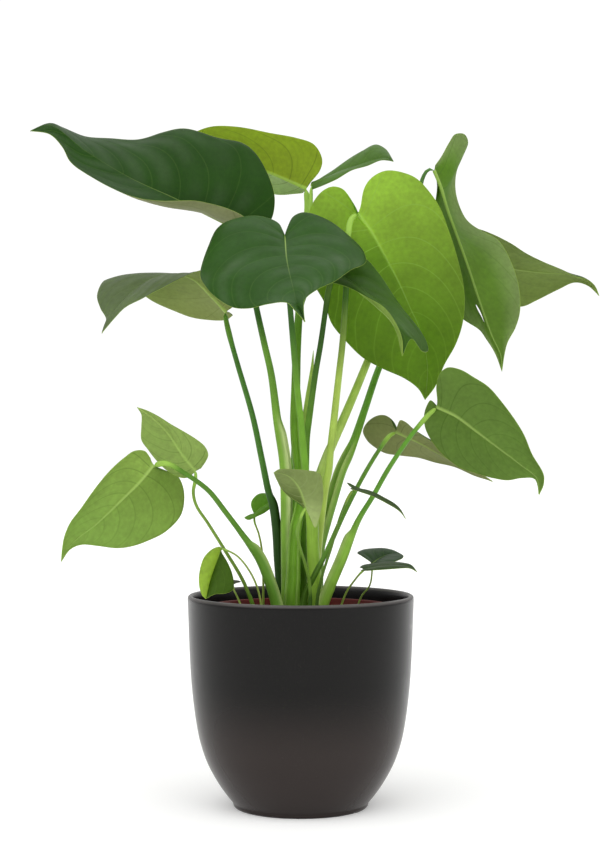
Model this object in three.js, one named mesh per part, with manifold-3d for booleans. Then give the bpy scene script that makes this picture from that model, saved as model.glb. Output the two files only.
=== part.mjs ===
// A potted swiss cheese plant: a matte cover pot, the nursery pot inside it, soil, and twenty leaves on
// long stalks. Millimetres, Z up; the origin is the centre of the cover pot's flat foot.
import * as THREE from "three";
import Module from "manifold-3d";

const wasm = await Module();
wasm.setup();

// Driving dimensions
const POT_RIM_RADIUS = 100;
const POT_HEIGHT = 187;
const POT_SIDES = 44;
const SEAT = 0.3; // air left where one piece rests on another
const NURSERY_RIM_TOP = 176.5;
const NURSERY_SIDES = 32;
const SOIL_TOP = 171.5;
const BLADE_THICKNESS = 0.8;
const HOLE_CLEARANCE = 0.35; // air around a stalk in the soil
const RIB_CREEP = 0.06; // share of the margin, at the lobes, whose veins all leave the rib's first end
const VEIN_SWEEP = 0.3; // how far along the rib a side vein has gone where it is most curved
const VEIN_REACH = 0.6; // and how far across

// Each point of a leaf or stalk is written as the front view shows it: across and up in the plane of the
// pot's axis, with the depth behind that plane in the middle. The eye stands in front, at this distance
// and height, so a point nearer to it is drawn in towards the line of sight.
const EYE_AWAY = 1720;
const EYE_HIGH = 345;
function seen([x, depth, z]) {
  const k = 1 + depth / EYE_AWAY;
  return new THREE.Vector3(x * k, depth, EYE_HIGH + (z - EYE_HIGH) * k);
}

const plant = new THREE.Group();
plant.name = "potted_plant";

function add(name, geometry, color, roughness) {
  const material = new THREE.MeshStandardMaterial({ color, roughness });
  const mesh = new THREE.Mesh(geometry, material);
  mesh.name = name;
  plant.add(mesh);
  return mesh;
}

// Solids

// A geometry of the given points and triangles, turned so that its faces point outwards.
function shell(points, triangles) {
  let volume = 0;
  for (const [a, b, c] of triangles) {
    volume += points[a].dot(points[b].clone().cross(points[c]));
  }
  const turned = volume < 0 ? triangles.map(([a, b, c]) => [a, c, b]) : triangles;
  const geometry = new THREE.BufferGeometry().setFromPoints(points);
  geometry.setIndex(turned.flat());
  return geometry;
}

function toManifold(geometry) {
  return new wasm.Manifold(
    new wasm.Mesh({
      numProp: 3,
      vertProperties: new Float32Array(geometry.getAttribute("position").array),
      triVerts: new Uint32Array(geometry.getIndex().array),
    }),
  );
}

function toGeometry(manifold) {
  const made = manifold.getMesh();
  const points = new Float32Array(made.numVert * 3);
  for (let i = 0; i < made.numVert; i++) {
    points.set(made.vertProperties.subarray(i * made.numProp, i * made.numProp + 3), i * 3);
  }
  return new THREE.BufferGeometry()
    .setAttribute("position", new THREE.BufferAttribute(points, 3))
    .setIndex(new THREE.BufferAttribute(made.triVerts, 1));
}

// A closed body from a half profile, [radius, height] pairs that start and end on the axis.
function turned(profile, sides) {
  const points = [];
  const triangles = [];
  const rings = profile.map(([radius, height]) => {
    if (radius === 0) return [points.push(new THREE.Vector3(0, 0, height)) - 1];
    return Array.from({ length: sides }, (_, i) => {
      const turn = (2 * Math.PI * i) / sides;
      return points.push(new THREE.Vector3(radius * Math.cos(turn), radius * Math.sin(turn), height)) - 1;
    });
  });
  for (let k = 1; k < rings.length; k++) joinRings(triangles, rings[k - 1], rings[k]);
  return shell(points, triangles);
}

// The band of triangles between two rings of equal count, or a fan where one ring is a single point.
function joinRings(triangles, low, high) {
  const count = Math.max(low.length, high.length);
  for (let i = 0; i < count; i++) {
    const next = (i + 1) % count;
    if (low.length === 1) triangles.push([low[0], high[i], high[next]]);
    else if (high.length === 1) triangles.push([low[i], high[0], low[next]]);
    else triangles.push([low[i], high[i], high[next]], [low[i], high[next], low[next]]);
  }
}

// A smooth curve through points, cut into steps of equal length.
function evenly(points, steps) {
  const curve = new THREE.CatmullRomCurve3(points, false, "centripetal");
  curve.arcLengthDivisions = 400;
  return curve.getSpacedPoints(steps);
}

function along(points, share) {
  const place = THREE.MathUtils.clamp(share, 0, 1) * (points.length - 1);
  const i = Math.min(Math.floor(place), points.length - 2);
  return points[i].clone().lerp(points[i + 1], place - i);
}

// Blades

// The middle surface of a blade as rows of points that run from the left margin over the rib to the
// right one. A row follows a side vein: a curve from the rib to the margin that bends to the tip and
// bulges by the wing's arch. The first row edges the notch, the last is the tip alone.
function bladeRows({ rib, right, left, arch, grid }) {
  const [rows, columns] = grid;
  const spine = evenly(rib.map(seen), 120);
  const tip = rib[rib.length - 1];
  const margins = [left, right].map((side) => evenly([...side, tip].map(seen), 240));
  const wings = margins.map((margin, which) => {
    const sign = which === 1 ? 1 : -1;
    const strips = [];
    for (let r = 0; r <= rows; r++) {
      const share = r / rows;
      const on = share < RIB_CREEP
        ? (0.015 * share) / RIB_CREEP
        : 0.015 + 0.985 * ((share - RIB_CREEP) / (1 - RIB_CREEP)) ** 1.4;
      const from = along(spine, on);
      const heading = along(spine, on + 0.01).sub(along(spine, on - 0.01)).normalize();
      const reach = along(margin, share).sub(from);
      const forward = heading.clone().multiplyScalar(reach.dot(heading));
      const across = reach.clone().sub(forward);
      const up = across.clone().cross(heading).normalize().multiplyScalar(sign);
      strips.push({ from, reach, forward, across, up });
    }
    const widest = Math.max(...strips.map((s) => s.across.length()));
    return strips.map(({ from, reach, forward, across, up }) => {
      const bulge = (arch[1 - which] * across.length()) / widest;
      const bend = forward.clone().multiplyScalar(VEIN_SWEEP).addScaledVector(across, VEIN_REACH);
      return Array.from({ length: columns + 1 }, (_, c) => {
        const v = c / columns;
        return from
          .clone()
          .addScaledVector(bend, 2 * v * (1 - v))
          .addScaledVector(reach, v * v)
          .addScaledVector(up, 4 * bulge * v * (1 - v));
      });
    });
  });
  const whole = [];
  for (let r = 0; r < rows; r++) {
    whole.push([...wings[0][r].slice(1).reverse(), ...wings[1][r]]);
  }
  whole.push([along(spine, 1)]);
  return whole;
}

// Splits the rows into triangles. Both faces of the blade use the same ones.
function bladeSheet(rows) {
  const points = rows.flat();
  const triangles = [];
  const width = rows[0].length;
  const last = points.length - 1;
  for (let r = 0; r + 1 < rows.length; r++) {
    for (let c = 0; c + 1 < width; c++) {
      const a = r * width + c;
      if (r + 2 === rows.length) triangles.push([a, last, a + 1]);
      else if (c < width / 2 - 1) triangles.push([a, a + width, a + width + 1], [a, a + width + 1, a + 1]);
      else triangles.push([a, a + width, a + 1], [a + 1, a + width, a + width + 1]);
    }
  }
  return { points, triangles };
}

// Gives a sheet its thickness, half to each side, and closes it along every free edge.
function thickened({ points, triangles }, thickness) {
  const sheet = new THREE.BufferGeometry().setFromPoints(points);
  sheet.setIndex(triangles.flat());
  sheet.computeVertexNormals();
  const normals = sheet.getAttribute("normal");
  const count = points.length;
  const offset = (side) => points.map((p, i) =>
    new THREE.Vector3().fromBufferAttribute(normals, i).multiplyScalar((side * thickness) / 2).add(p));
  const faces = [];
  const edges = new Map();
  for (const [a, b, c] of triangles) {
    faces.push([a, b, c], [a + count, c + count, b + count]);
    for (const [s, e] of [[a, b], [b, c], [c, a]]) {
      if (!edges.delete(e + "," + s)) edges.set(s + "," + e, [s, e]);
    }
  }
  for (const [s, e] of edges.values()) {
    faces.push([s, s + count, e + count], [s, e + count, e]);
  }
  return shell([...offset(1), ...offset(-1)], faces);
}

// Stalks

// A stalk is a curved rod: a broad sheath hugs its neighbours over the lower share, then it is slim and
// nearly round, and its last step turns in under the blade.
function stalkBody(path, radii, sheath, grow, steps, sides) {
  const line = evenly(path, steps);
  const outward = line[steps].clone().sub(line[0]).setZ(0).normalize();
  const facing = outward.multiplyScalar(-1).add(new THREE.Vector3(0, 0, 0.6));
  const points = [];
  const rings = line.map((centre, i) => {
    const heading = line[Math.min(i + 1, steps)].clone().sub(line[Math.max(i - 1, 0)]).normalize();
    const inner = facing.clone().addScaledVector(heading, -facing.dot(heading)).normalize();
    const across = heading.clone().cross(inner);
    const radius = stalkRadius(i / steps, radii, sheath) + grow;
    return Array.from({ length: sides }, (_, k) => {
      const turn = (2 * Math.PI * k) / sides;
      const point = centre
        .clone()
        .addScaledVector(across, radius * Math.cos(turn))
        .addScaledVector(inner, (0.8 * radius + 0.2 * grow) * Math.sin(turn));
      return points.push(point) - 1;
    });
  });
  const triangles = [];
  joinRings(triangles, [points.push(line[0].clone()) - 1], rings[0]);
  for (let k = 1; k < rings.length; k++) joinRings(triangles, rings[k - 1], rings[k]);
  joinRings(triangles, rings[steps], [points.push(line[steps].clone()) - 1]);
  return shell(points, triangles);
}

function stalkRadius(share, [root, shoulder, middle, top], sheath) {
  const low = shoulder + (root - shoulder) * Math.max(1 - share / sheath, 0) ** 2.5;
  const high = middle + ((top - middle) * (share - sheath)) / (1 - sheath);
  const blend = THREE.MathUtils.smoothstep(share, 0.82 * sheath, 1.1 * sheath);
  return low * (1 - blend) + high * blend;
}

// Where a blade's underside meets its stalk: the rib's first point and the way the upper side faces.
function seatOf({ rib, right, left }) {
  const [start, next] = evenly(rib.map(seen), 100);
  const heading = next.clone().sub(start).normalize();
  const toRight = seen(right[Math.min(2, right.length - 1)]).sub(start);
  const toLeft = seen(left[Math.min(2, left.length - 1)]).sub(start);
  const up = toRight.cross(heading).normalize().add(heading.clone().cross(toLeft).normalize()).normalize();
  return { start, up };
}

// A hole through a blade: a rounded slot that runs from one point to another, as the front view shows it.
function slitBody({ from, to, width }) {
  const rod = wasm.Manifold.cylinder(24, width / 2, width / 2, 10, true).rotate([90, 0, 0]);
  return wasm.Manifold.hull([from, to].map((end) => rod.translate(seen(end).toArray())));
}

const roots = [];

// Makes one leaf: the blade, and the stalk, which follows its path into the blade's base and stops where
// only the seat's air is left. The stalk's root goes on the list of holes in the soil.
function leaf(name, shape) {
  const sheet = bladeSheet(bladeRows(shape));
  let blade = thickened(sheet, BLADE_THICKNESS);
  if (shape.slit) blade = toGeometry(toManifold(blade).subtract(slitBody(shape.slit)));
  const { start, up } = seatOf(shape);
  const end = start.clone().addScaledVector(up, -0.55 * shape.radii[3]);
  const path = [...shape.stalk.map(seen), end];
  const back = path[path.length - 2].clone().sub(end).setLength(0.1);
  const [steps, sides] = shape.stalkGrid;
  const room = toManifold(thickened(sheet, BLADE_THICKNESS + 2 * SEAT));
  let rod;
  do {
    end.add(back);
    rod = stalkBody(path, shape.radii, shape.sheath, 0, steps, sides);
  } while (toManifold(rod).intersect(room).volume() > 0);
  add("blade_" + name, blade, 0x4a7d32, 0.5);
  add("petiole_" + name, rod, 0x5f9a35, 0.45);
  roots.push(stalkBody(path, shape.radii, shape.sheath, HOLE_CLEARANCE, steps, sides));
}

// Cover pot

// A bowl of matte ceramic with a turned foot; the wall is 5.5 mm thick and its top edge rounded.
const potOutside = [
  [0, 0], [58, 0], [60, 2], [60.4, 5], [65.6, 11], [73.6, 22.5], [82.5, 39], [88.2, 55], [91.8, 71],
  [96.1, 104], [98.2, 136], [99.3, 166], [POT_RIM_RADIUS, 184.5], [99.3, 186.4], [97.4, POT_HEIGHT],
];
const potInside = [
  [95.6, 186.3], [94.6, 184.4], [93.8, 166], [92.7, 136], [90.6, 104], [86.4, 71], [82.8, 56], [77, 41],
  [69, 27], [60, 16], [53, 9.5], [50.5, 9], [0, 9],
];
add("cover_pot", turned([...potOutside, ...potInside], POT_SIDES), 0x2f2c2b, 0.6);

// Nursery pot

// The thin plastic pot the plant grew in, standing inside; only the edge of its rim shows.
const nurseryProfile = [
  [0, 9.3], [49.5, 9.3], [51.5, 11], [80.6, 166], [85.2, 166], [86.2, 168], [86.2, 174.5], [85, NURSERY_RIM_TOP],
  [83.6, NURSERY_RIM_TOP], [82.9, 175], [82.2, 167.5], [79.2, 164], [50, 12.4], [48.6, 11.3], [0, 11.3],
];
add("nursery_pot", turned(nurseryProfile, NURSERY_SIDES), 0x8a4a34, 0.5);

// Leaves

// The largest leaf, high on the left: its upper side tilts to the front and the near wing curls up at the base.
leaf("upper_left", {
  rib: [
    [-52, -2, 508], [-80, -6, 522], [-113, -9, 538], [-150, -11, 555], [-190, -13, 579],
    [-222, -15, 602], [-239.5, -16, 597],
  ],
  right: [
    [-44, 2, 510], [-28, 8, 516], [-23, 14, 535], [-28, 20, 556], [-38, 27, 575], [-52, 32, 587],
    [-75, 38, 592], [-102, 42, 599], [-122, 42, 596], [-145, 38, 590], [-168, 30, 591],
    [-190, 18, 592], [-210, 2, 600], [-222, -10, 604],
  ],
  left: [
    [-46, -9, 508], [-43, -19, 515], [-53, -29, 523], [-66, -39, 529], [-80, -49, 533],
    [-95, -57, 536], [-125, -63, 535], [-150, -58, 539], [-170, -50, 548], [-190, -40, 559],
    [-204, -32, 570], [-211, -26, 583], [-222, -20, 594],
  ],
  arch: [4, -4],
  stalk: [
    [-12.5, -8, 158], [-12.4, -8, 200], [-12.8, -6.8, 248], [-13, -7, 280], [-13.6, -6, 298],
    [-15, -5, 311], [-17.6, -4, 326], [-20.4, -3, 342], [-26, -1, 382], [-32, 0, 408.5],
    [-39, 2, 440], [-48, 1, 485], [-52, 0, 500],
  ],
  radii: [6.2, 6.2, 4.3, 2.9],
  sheath: 0.53,
  grid: [14, 4],
  stalkGrid: [15, 8],
});

// The leaf that leans furthest to the front, its tip hanging down.
leaf("front", {
  rib: [[-14, -60, 505], [-12, -102, 482], [-7, -133, 460], [-2, -156, 441], [4, -169, 428]],
  right: [
    [-17, -54, 508], [-19, -48, 515], [-28, -44, 520], [-45, -42, 522], [-62, -46, 519],
    [-74, -54, 511], [-82, -66, 495], [-89, -84, 472], [-84, -107, 459], [-74, -120, 449],
    [-60, -132, 441], [-45, -142, 440], [-28, -153, 444], [-12, -163, 445], [-5, -168, 438],
  ],
  left: [
    [-11, -54, 511], [-7, -48, 521], [3, -44, 525], [22, -44, 519], [40, -52, 506], [53, -64, 494],
    [58, -78, 482], [44, -108, 474], [30, -127, 464], [15, -142, 457], [4, -155, 448],
    [3, -163, 440],
  ],
  arch: [6, 6],
  stalk: [
    [13, -19, 158], [12.5, -20, 200], [10.5, -20.5, 227], [10, -21, 250], [7.2, -22, 275],
    [4.2, -23, 298], [1.5, -25, 326], [-0.1, -27, 342], [-3.6, -33, 374], [-6.6, -40, 408.5],
    [-9.6, -48, 443.5], [-14, -58, 490],
  ],
  radii: [6.2, 5.4, 3.4, 2.3],
  sheath: 0.34,
  grid: [14, 4],
  stalkGrid: [15, 8],
});

// A leaf behind the largest one, seen from below.
leaf("back_left", {
  rib: [[5, 60, 546], [-33, 66, 562], [-70, 76, 572], [-105, 84, 576], [-128, 88, 573]],
  right: [
    [1, 64, 542], [-8, 72, 541], [-23, 84, 541], [-45, 98, 546], [-70, 106, 553], [-95, 106, 561],
    [-115, 98, 568],
  ],
  left: [
    [8, 58, 551], [17, 56, 562], [19, 54, 572], [12, 52, 585], [-4, 50, 591], [-30, 51, 596],
    [-58, 53, 601], [-80, 56, 601], [-95, 60, 596], [-112, 70, 588],
  ],
  arch: [4, 4],
  stalk: [
    [-8.4, -22, 158], [-7.6, -22, 185], [-6.6, -21, 200], [-6.1, -20, 218], [-4.6, -18, 244],
    [-0.2, -10, 266], [-1.2, -3, 290], [-2.8, 2, 306], [-4.6, 6, 326], [-5.1, 9, 342],
    [-4.3, 17, 374], [-3.7, 23, 398], [-1.9, 33, 431], [2, 46, 480], [6, 56, 530],
  ],
  radii: [8.0, 4.4, 4.2, 2.6],
  sheath: 0.5,
  grid: [13, 3],
  stalkGrid: [15, 8],
});

// A narrow leaf at the back that points right.
leaf("back_right", {
  rib: [[9, 40, 549], [35, 56, 560], [60, 76, 570], [75, 90, 573], [82, 98, 570]],
  right: [[10, 34, 545], [20, 26, 549], [31, 30, 554], [45, 46, 562.5], [60, 64, 567], [72, 82, 571]],
  left: [
    [10, 44, 552], [20, 56, 555.5], [32, 68, 562.5], [45, 84, 572.5], [58, 98, 581], [67, 106, 585],
    [75, 106, 581],
  ],
  arch: [3, 3],
  stalk: [
    [-9.5, 9, 158], [-11, 14, 200], [-9.8, 21, 235], [-7.8, 24, 270], [-6.2, 23, 326], [-5, 24, 342],
    [-4.2, 28, 374], [-3.6, 32, 398], [-1.4, 42.5, 431], [2, 45, 446], [6.8, 43.5, 459],
    [8.5, 42, 480], [9.5, 41, 500], [9, 37, 530],
  ],
  radii: [4.3, 3.4, 2.0, 1.7],
  sheath: 0.35,
  grid: [10, 3],
  stalkGrid: [15, 8],
});

// The young bright leaf that hangs on the right with its underside to the front.
leaf("bright", {
  rib: [
    [50, -8, 524], [61, -2, 510], [75, 5, 485], [88, 10, 460], [97, 13, 440], [106, 14, 420],
    [112, 10, 390], [110, -2, 359],
  ],
  right: [
    [53, -6, 530], [56, -4, 546], [63, 0, 556], [76, 2, 562], [92, 2, 560], [104, 2, 554],
    [121, 0, 533], [130, 2, 511], [137, 6, 490], [143, 8, 468], [145, 6, 448], [143, 4, 426],
    [137, 4, 408], [127, 6, 390], [119, 2, 371],
  ],
  left: [
    [47, -12, 528], [43, -13, 539], [37, -12, 546], [28, -10, 548], [18, -6, 543], [9, -5, 530],
    [4, -7, 508], [4, -10, 482], [12, -10, 461], [21, -8, 445], [27, -2, 427], [38, 2, 413],
    [54, 6, 397], [72, 6, 387], [92, 3, 378], [104, -2, 369],
  ],
  arch: [-4, -6],
  stalk: [
    [12, -6, 158], [12.4, -6, 200], [14.5, -6, 227], [17.5, -6, 255], [20.8, -7, 279],
    [24.6, -9, 298], [25.7, -10, 310.5], [29.3, -13, 342], [33.7, -18, 381.6], [36.8, -22, 409],
    [40, -27, 457], [41.5, -26, 500], [44, -18, 518],
  ],
  radii: [6.2, 5.2, 4.5, 2.9],
  sheath: 0.33,
  grid: [14, 4],
  stalkGrid: [15, 8],
});

// A dark leaf that comes out from under the front leaf, with a torn tip.
leaf("dark_low", {
  rib: [[28, -34, 474], [48, -62, 458], [66, -86, 443], [82, -104, 426], [90, -116, 398]],
  right: [
    [24, -40, 470], [22, -52, 464], [32, -68, 462], [46, -84, 457], [60, -96, 449], [74, -106, 440],
    [85, -112, 426], [90, -115, 412],
  ],
  left: [
    [31, -36, 480], [40, -39, 487], [56, -42, 485], [70, -50, 470], [84, -60, 449], [98, -74, 430],
    [110, -84, 414], [113, -90, 403], [107, -100, 402], [98, -108, 413],
  ],
  arch: [4, 6],
  stalk: [
    [2, 3, 158], [2, 4, 220], [3, 6, 260], [4.4, 7, 300], [5.4, 3, 326], [7.4, -2, 342],
    [12.9, -14, 381.6], [17.6, -23, 408.5], [24, -30, 452], [27, -33, 466],
  ],
  radii: [4.3, 3.6, 3.3, 2.3],
  sheath: 0.42,
  grid: [13, 3],
  stalkGrid: [15, 8],
});

// A leaf folded along its rib, hanging on the right; one long hole lies beside the rib.
leaf("right", {
  rib: [
    [118, 30, 562], [124, 26, 547], [130, 24, 527], [138, 22, 505], [147, 22, 480], [159, 20, 444],
    [169, 16, 416], [177, 8, 398], [178, 2, 384],
  ],
  right: [
    [119, 34, 567], [124, 44, 574], [131, 54, 587], [136, 62, 594], [145, 72, 594], [148, 80, 586],
    [142, 87, 573], [137, 90, 558], [138, 89, 539], [146, 84, 520], [160, 74, 509], [175, 62, 500],
    [187, 47, 479], [193, 36, 459], [194, 28, 438], [190, 21, 423], [183, 13, 410], [180, 7, 398],
  ],
  left: [
    [121.5, 33, 551], [121, 38, 545], [119, 46, 535], [116.5, 54, 518], [114, 58, 498],
    [117, 58, 478], [124, 54, 457], [134, 44, 441], [143, 36, 431], [158, 26, 421], [164, 18, 413],
    [172, 10, 400],
  ],
  arch: [6, 6],
  stalk: [
    [3, 15, 158], [3.4, 15.5, 200], [5.6, 14.5, 240], [8.8, 14, 262], [13, 10, 280], [18.9, 9, 298],
    [26.9, 9, 318], [37.4, 11, 342], [47.7, 14, 366], [58, 18, 391], [84, 28, 455], [103, 32, 530],
    [108, 31, 556], [113, 30, 563],
  ],
  radii: [5.4, 4.9, 5.4, 1.9],
  sheath: 0.4,
  slit: { from: [156.4, 23, 440.5], to: [158.2, 24.5, 427], width: 2.6 },
  grid: [14, 4],
  stalkGrid: [15, 8],
});

// The leaf that reaches furthest right, behind the folded one.
leaf("far_right", {
  rib: [
    [138, 128, 487], [165, 130, 480], [190, 130, 475], [215, 128, 472], [240, 124, 470],
    [256, 120, 463], [264, 118, 451],
  ],
  right: [
    [134, 120, 492], [132, 108, 502], [140, 97, 511], [155, 91, 511], [170, 89, 506], [185, 89, 498],
    [199, 91, 489], [215, 95, 481], [231, 101, 474], [243, 108, 468], [252, 113, 466],
    [260, 116, 460],
  ],
  left: [
    [134, 138, 480], [132, 154, 468], [144, 170, 455], [160, 174, 447], [178, 172, 443],
    [196, 168, 442], [208, 162, 447], [228, 150, 457], [242, 136, 463], [254, 124, 460],
  ],
  arch: [4, 4],
  stalk: [
    [14, 9, 158], [14.8, 10, 200], [16, 11, 227], [18, 12, 236], [22.6, 13, 253], [27.8, 15, 271],
    [32.9, 18, 288.5], [36.2, 20, 298], [42, 26, 310.5], [48.1, 32, 326], [57, 42, 352],
    [71, 60, 392], [94, 88, 436], [118, 114, 472], [131, 125, 485],
  ],
  radii: [6.0, 5.6, 3.9, 2.5],
  sheath: 0.43,
  grid: [14, 4],
  stalkGrid: [15, 8],
});

// An arched leaf at the left, half way up.
leaf("left", {
  rib: [
    [-66, 14, 437], [-80, 8, 452], [-95, -2, 466], [-112, -14, 471], [-130, -28, 467],
    [-148, -42, 456], [-163, -54, 441], [-172, -62, 429], [-176, -66, 418],
  ],
  right: [
    [-60, 22, 434], [-66, 34, 430], [-80, 46, 430], [-96, 52, 432], [-112, 50, 438],
    [-130, 40, 445.5], [-147, 24, 457], [-160, 8, 464.5], [-173, -8, 465], [-180, -26, 452],
    [-177, -42, 440], [-172, -54, 430],
  ],
  left: [
    [-61, 8, 441], [-54, 0, 448], [-55, -12, 460], [-67, -24, 470], [-86, -34, 474],
    [-103, -42, 468], [-125, -54, 457], [-140, -62, 449], [-155, -68, 441], [-164, -70, 432],
    [-171, -69, 424],
  ],
  arch: [4, 3],
  stalk: [
    [-18.5, 4, 158], [-18.6, 4, 200], [-19.9, 4, 218], [-21.5, 4, 244], [-24.5, 4, 266],
    [-28.7, 4, 280], [-34.2, 4, 306], [-42.5, 5, 345], [-55.6, 7, 390], [-62.6, 11, 415],
    [-66, 13, 430],
  ],
  radii: [5.4, 4.9, 3.8, 2.7],
  sheath: 0.42,
  grid: [13, 3],
  stalkGrid: [15, 8],
});

// A broad low leaf at the left, underside to the front.
leaf("low_left", {
  rib: [
    [-130, -70, 302], [-142, -70, 287], [-155, -71, 274], [-180, -74, 250], [-201, -80, 233],
    [-212, -84, 216],
  ],
  right: [
    [-127, -60, 298], [-118, -44, 296], [-109, -36, 292], [-104, -31, 282], [-103, -30, 270],
    [-106, -32, 257], [-119, -42, 243], [-134, -51, 235], [-148, -60, 230], [-162, -68, 228],
    [-180, -77, 230], [-194, -81, 231], [-204, -83, 227],
  ],
  left: [
    [-133, -73, 308], [-138, -76, 314], [-147, -78, 314], [-156, -79, 308], [-166, -80, 299],
    [-180, -82, 283], [-194, -84, 264], [-204, -86, 251], [-209, -86, 239], [-211, -86, 228],
  ],
  arch: [4, 4],
  stalk: [
    [-18, -35, 158], [-21.6, -34, 179], [-28, -36, 200], [-35.3, -39, 218], [-43.4, -43, 230],
    [-52.4, -47, 241.5], [-66.4, -54.5, 260], [-82, -63, 279.5], [-102, -71, 294], [-119, -73, 303],
  ],
  radii: [6.4, 5.6, 3.2, 2.5],
  sheath: 0.42,
  grid: [13, 3],
  stalkGrid: [15, 8],
});

// A smaller leaf just above it.
leaf("low_left_back", {
  rib: [[-93, -58, 296], [-103, -58, 308], [-117, -55, 329], [-131, -52, 343], [-145, -50, 353]],
  right: [
    [-97, -59, 292], [-103, -62, 290], [-111, -63, 292], [-119, -61, 297], [-128, -55, 306],
    [-135, -50, 315], [-141, -46, 324], [-141, -47, 336], [-141, -48, 346],
  ],
  left: [
    [-88, -60, 299], [-84, -60, 305], [-82, -59, 311], [-85, -58, 318], [-92, -56, 324],
    [-103, -53, 331], [-115, -51, 338], [-126, -50, 345], [-136, -50, 350],
  ],
  arch: [3, 3],
  stalk: [
    [-36, -24, 158], [-50, -27, 197], [-67, -33, 226], [-82, -41, 250], [-92.4, -49, 266],
    [-95, -54, 278], [-93, -57, 289],
  ],
  radii: [2.2, 1.9, 1.95, 1.5],
  sheath: 0.2,
  grid: [10, 3],
  stalkGrid: [9, 6],
});

// A small curled leaf over the rim at the left.
leaf("rim_left", {
  rib: [[-70, -50, 228], [-74, -60, 217], [-80, -68, 200], [-84, -74, 183]],
  right: [
    [-73, -50, 229], [-78, -56, 227], [-83, -62, 223], [-87, -69, 217], [-90, -76, 204],
    [-89.5, -78, 193], [-87, -77, 186],
  ],
  left: [
    [-71.5, -56, 222], [-73, -60, 217], [-68.5, -62, 215], [-63.5, -65, 210], [-60.5, -68, 204],
    [-59.3, -71, 197], [-60, -73, 191], [-66, -75, 188], [-76, -76, 187],
  ],
  arch: [3, 3],
  stalk: [[-32, -46, 158], [-38, -47, 192], [-46, -48, 209], [-56, -49, 221], [-65, -50, 226]],
  radii: [1.5, 1.17, 1.2, 1.0],
  sheath: 0.2,
  grid: [8, 2],
  stalkGrid: [9, 6],
});

// A very small leaf behind it.
leaf("rim_left_back", {
  rib: [[-60, -30, 196], [-62, -22, 199], [-62, -12, 199], [-60, -6, 196]],
  right: [[-57, -30, 197], [-53, -24, 198], [-54, -16, 198], [-58, -9, 197]],
  left: [[-62, -31, 197], [-67, -25, 199], [-67, -17, 199], [-63, -9, 198]],
  arch: [1, 1],
  stalk: [[-48, -36, 158], [-54, -35, 180], [-59, -32, 191]],
  radii: [1.3, 1.01, 1.1, 0.9],
  sheath: 0.2,
  grid: [8, 2],
  stalkGrid: [9, 6],
});

// A small dark leaf behind the left stalks.
leaf("bud_left", {
  rib: [[-41, 18, 258], [-35, 22, 264], [-28, 26, 268], [-21, 29, 269]],
  right: [
    [-45, 16, 256], [-50, 13, 255], [-46, 9, 253], [-39, 10, 256], [-31, 15, 260], [-25, 22, 265],
  ],
  left: [
    [-42, 21, 262], [-44, 25, 267], [-42, 29, 272], [-37, 33, 276], [-31, 34, 276.5],
    [-25, 32, 273.5],
  ],
  arch: [1, 1],
  stalk: [[-33, 10, 158], [-34, 12, 222], [-37, 15, 240], [-41, 17, 252]],
  radii: [1.6, 1.25, 1.2, 0.9],
  sheath: 0.2,
  grid: [8, 2],
  stalkGrid: [9, 6],
});

// A small leaf in front of the stalks.
leaf("front_small", {
  rib: [[4, -74, 264], [-1, -73, 280], [-10, -67, 291], [-24, -56, 295]],
  right: [[3, -80, 264], [-1, -86, 268], [-9, -89, 273], [-16, -84, 279], [-21, -71, 288]],
  left: [
    [8, -74, 256], [13, -75, 246], [17, -76, 256], [20, -76, 270], [20, -74, 283], [17, -70, 294],
    [6, -65, 297], [-8, -60, 298], [-19, -57, 298],
  ],
  arch: [2, 3],
  stalk: [[8, -46, 158], [8, -50, 195], [4, -60, 214], [-1, -70, 230], [-3, -77, 243], [0, -79, 255]],
  radii: [2.2, 1.72, 1.5, 1.1],
  sheath: 0.25,
  grid: [10, 3],
  stalkGrid: [9, 6],
});

// A broad low leaf at the right, underside to the front.
leaf("low_right", {
  rib: [
    [120, -44, 353], [137, -46, 345], [156, -46, 331], [176, -46, 316], [196, -48, 301],
    [209, -50, 290], [211, -52, 275],
  ],
  right: [
    [121, -49, 359], [120, -57, 372], [123, -65, 383], [130, -68, 388], [141, -68, 386],
    [153, -67, 379], [165, -66, 371], [176, -65, 359], [188, -63, 344], [198, -61, 328],
    [205, -58, 311], [215, -55, 293], [215, -54, 284],
  ],
  left: [
    [118, -43, 356], [115, -42, 359], [111, -38, 353], [109, -33, 344], [111, -28, 332],
    [120, -24, 317], [130, -23, 307], [141, -25, 299], [156, -29, 294], [170, -34, 290],
    [183, -38, 288], [196, -43, 290], [207, -48, 289],
  ],
  arch: [4, 4],
  stalk: [
    [13.5, -34, 158], [19.8, -34, 179], [28, -35, 200], [35.8, -36, 218], [42.5, -37, 235],
    [50.2, -39, 252], [63.8, -40, 274], [78, -42, 299], [96.6, -44, 326.5], [112, -45, 345],
  ],
  radii: [7.0, 6.0, 3.1, 2.4],
  sheath: 0.42,
  grid: [13, 3],
  stalkGrid: [15, 8],
});

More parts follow.
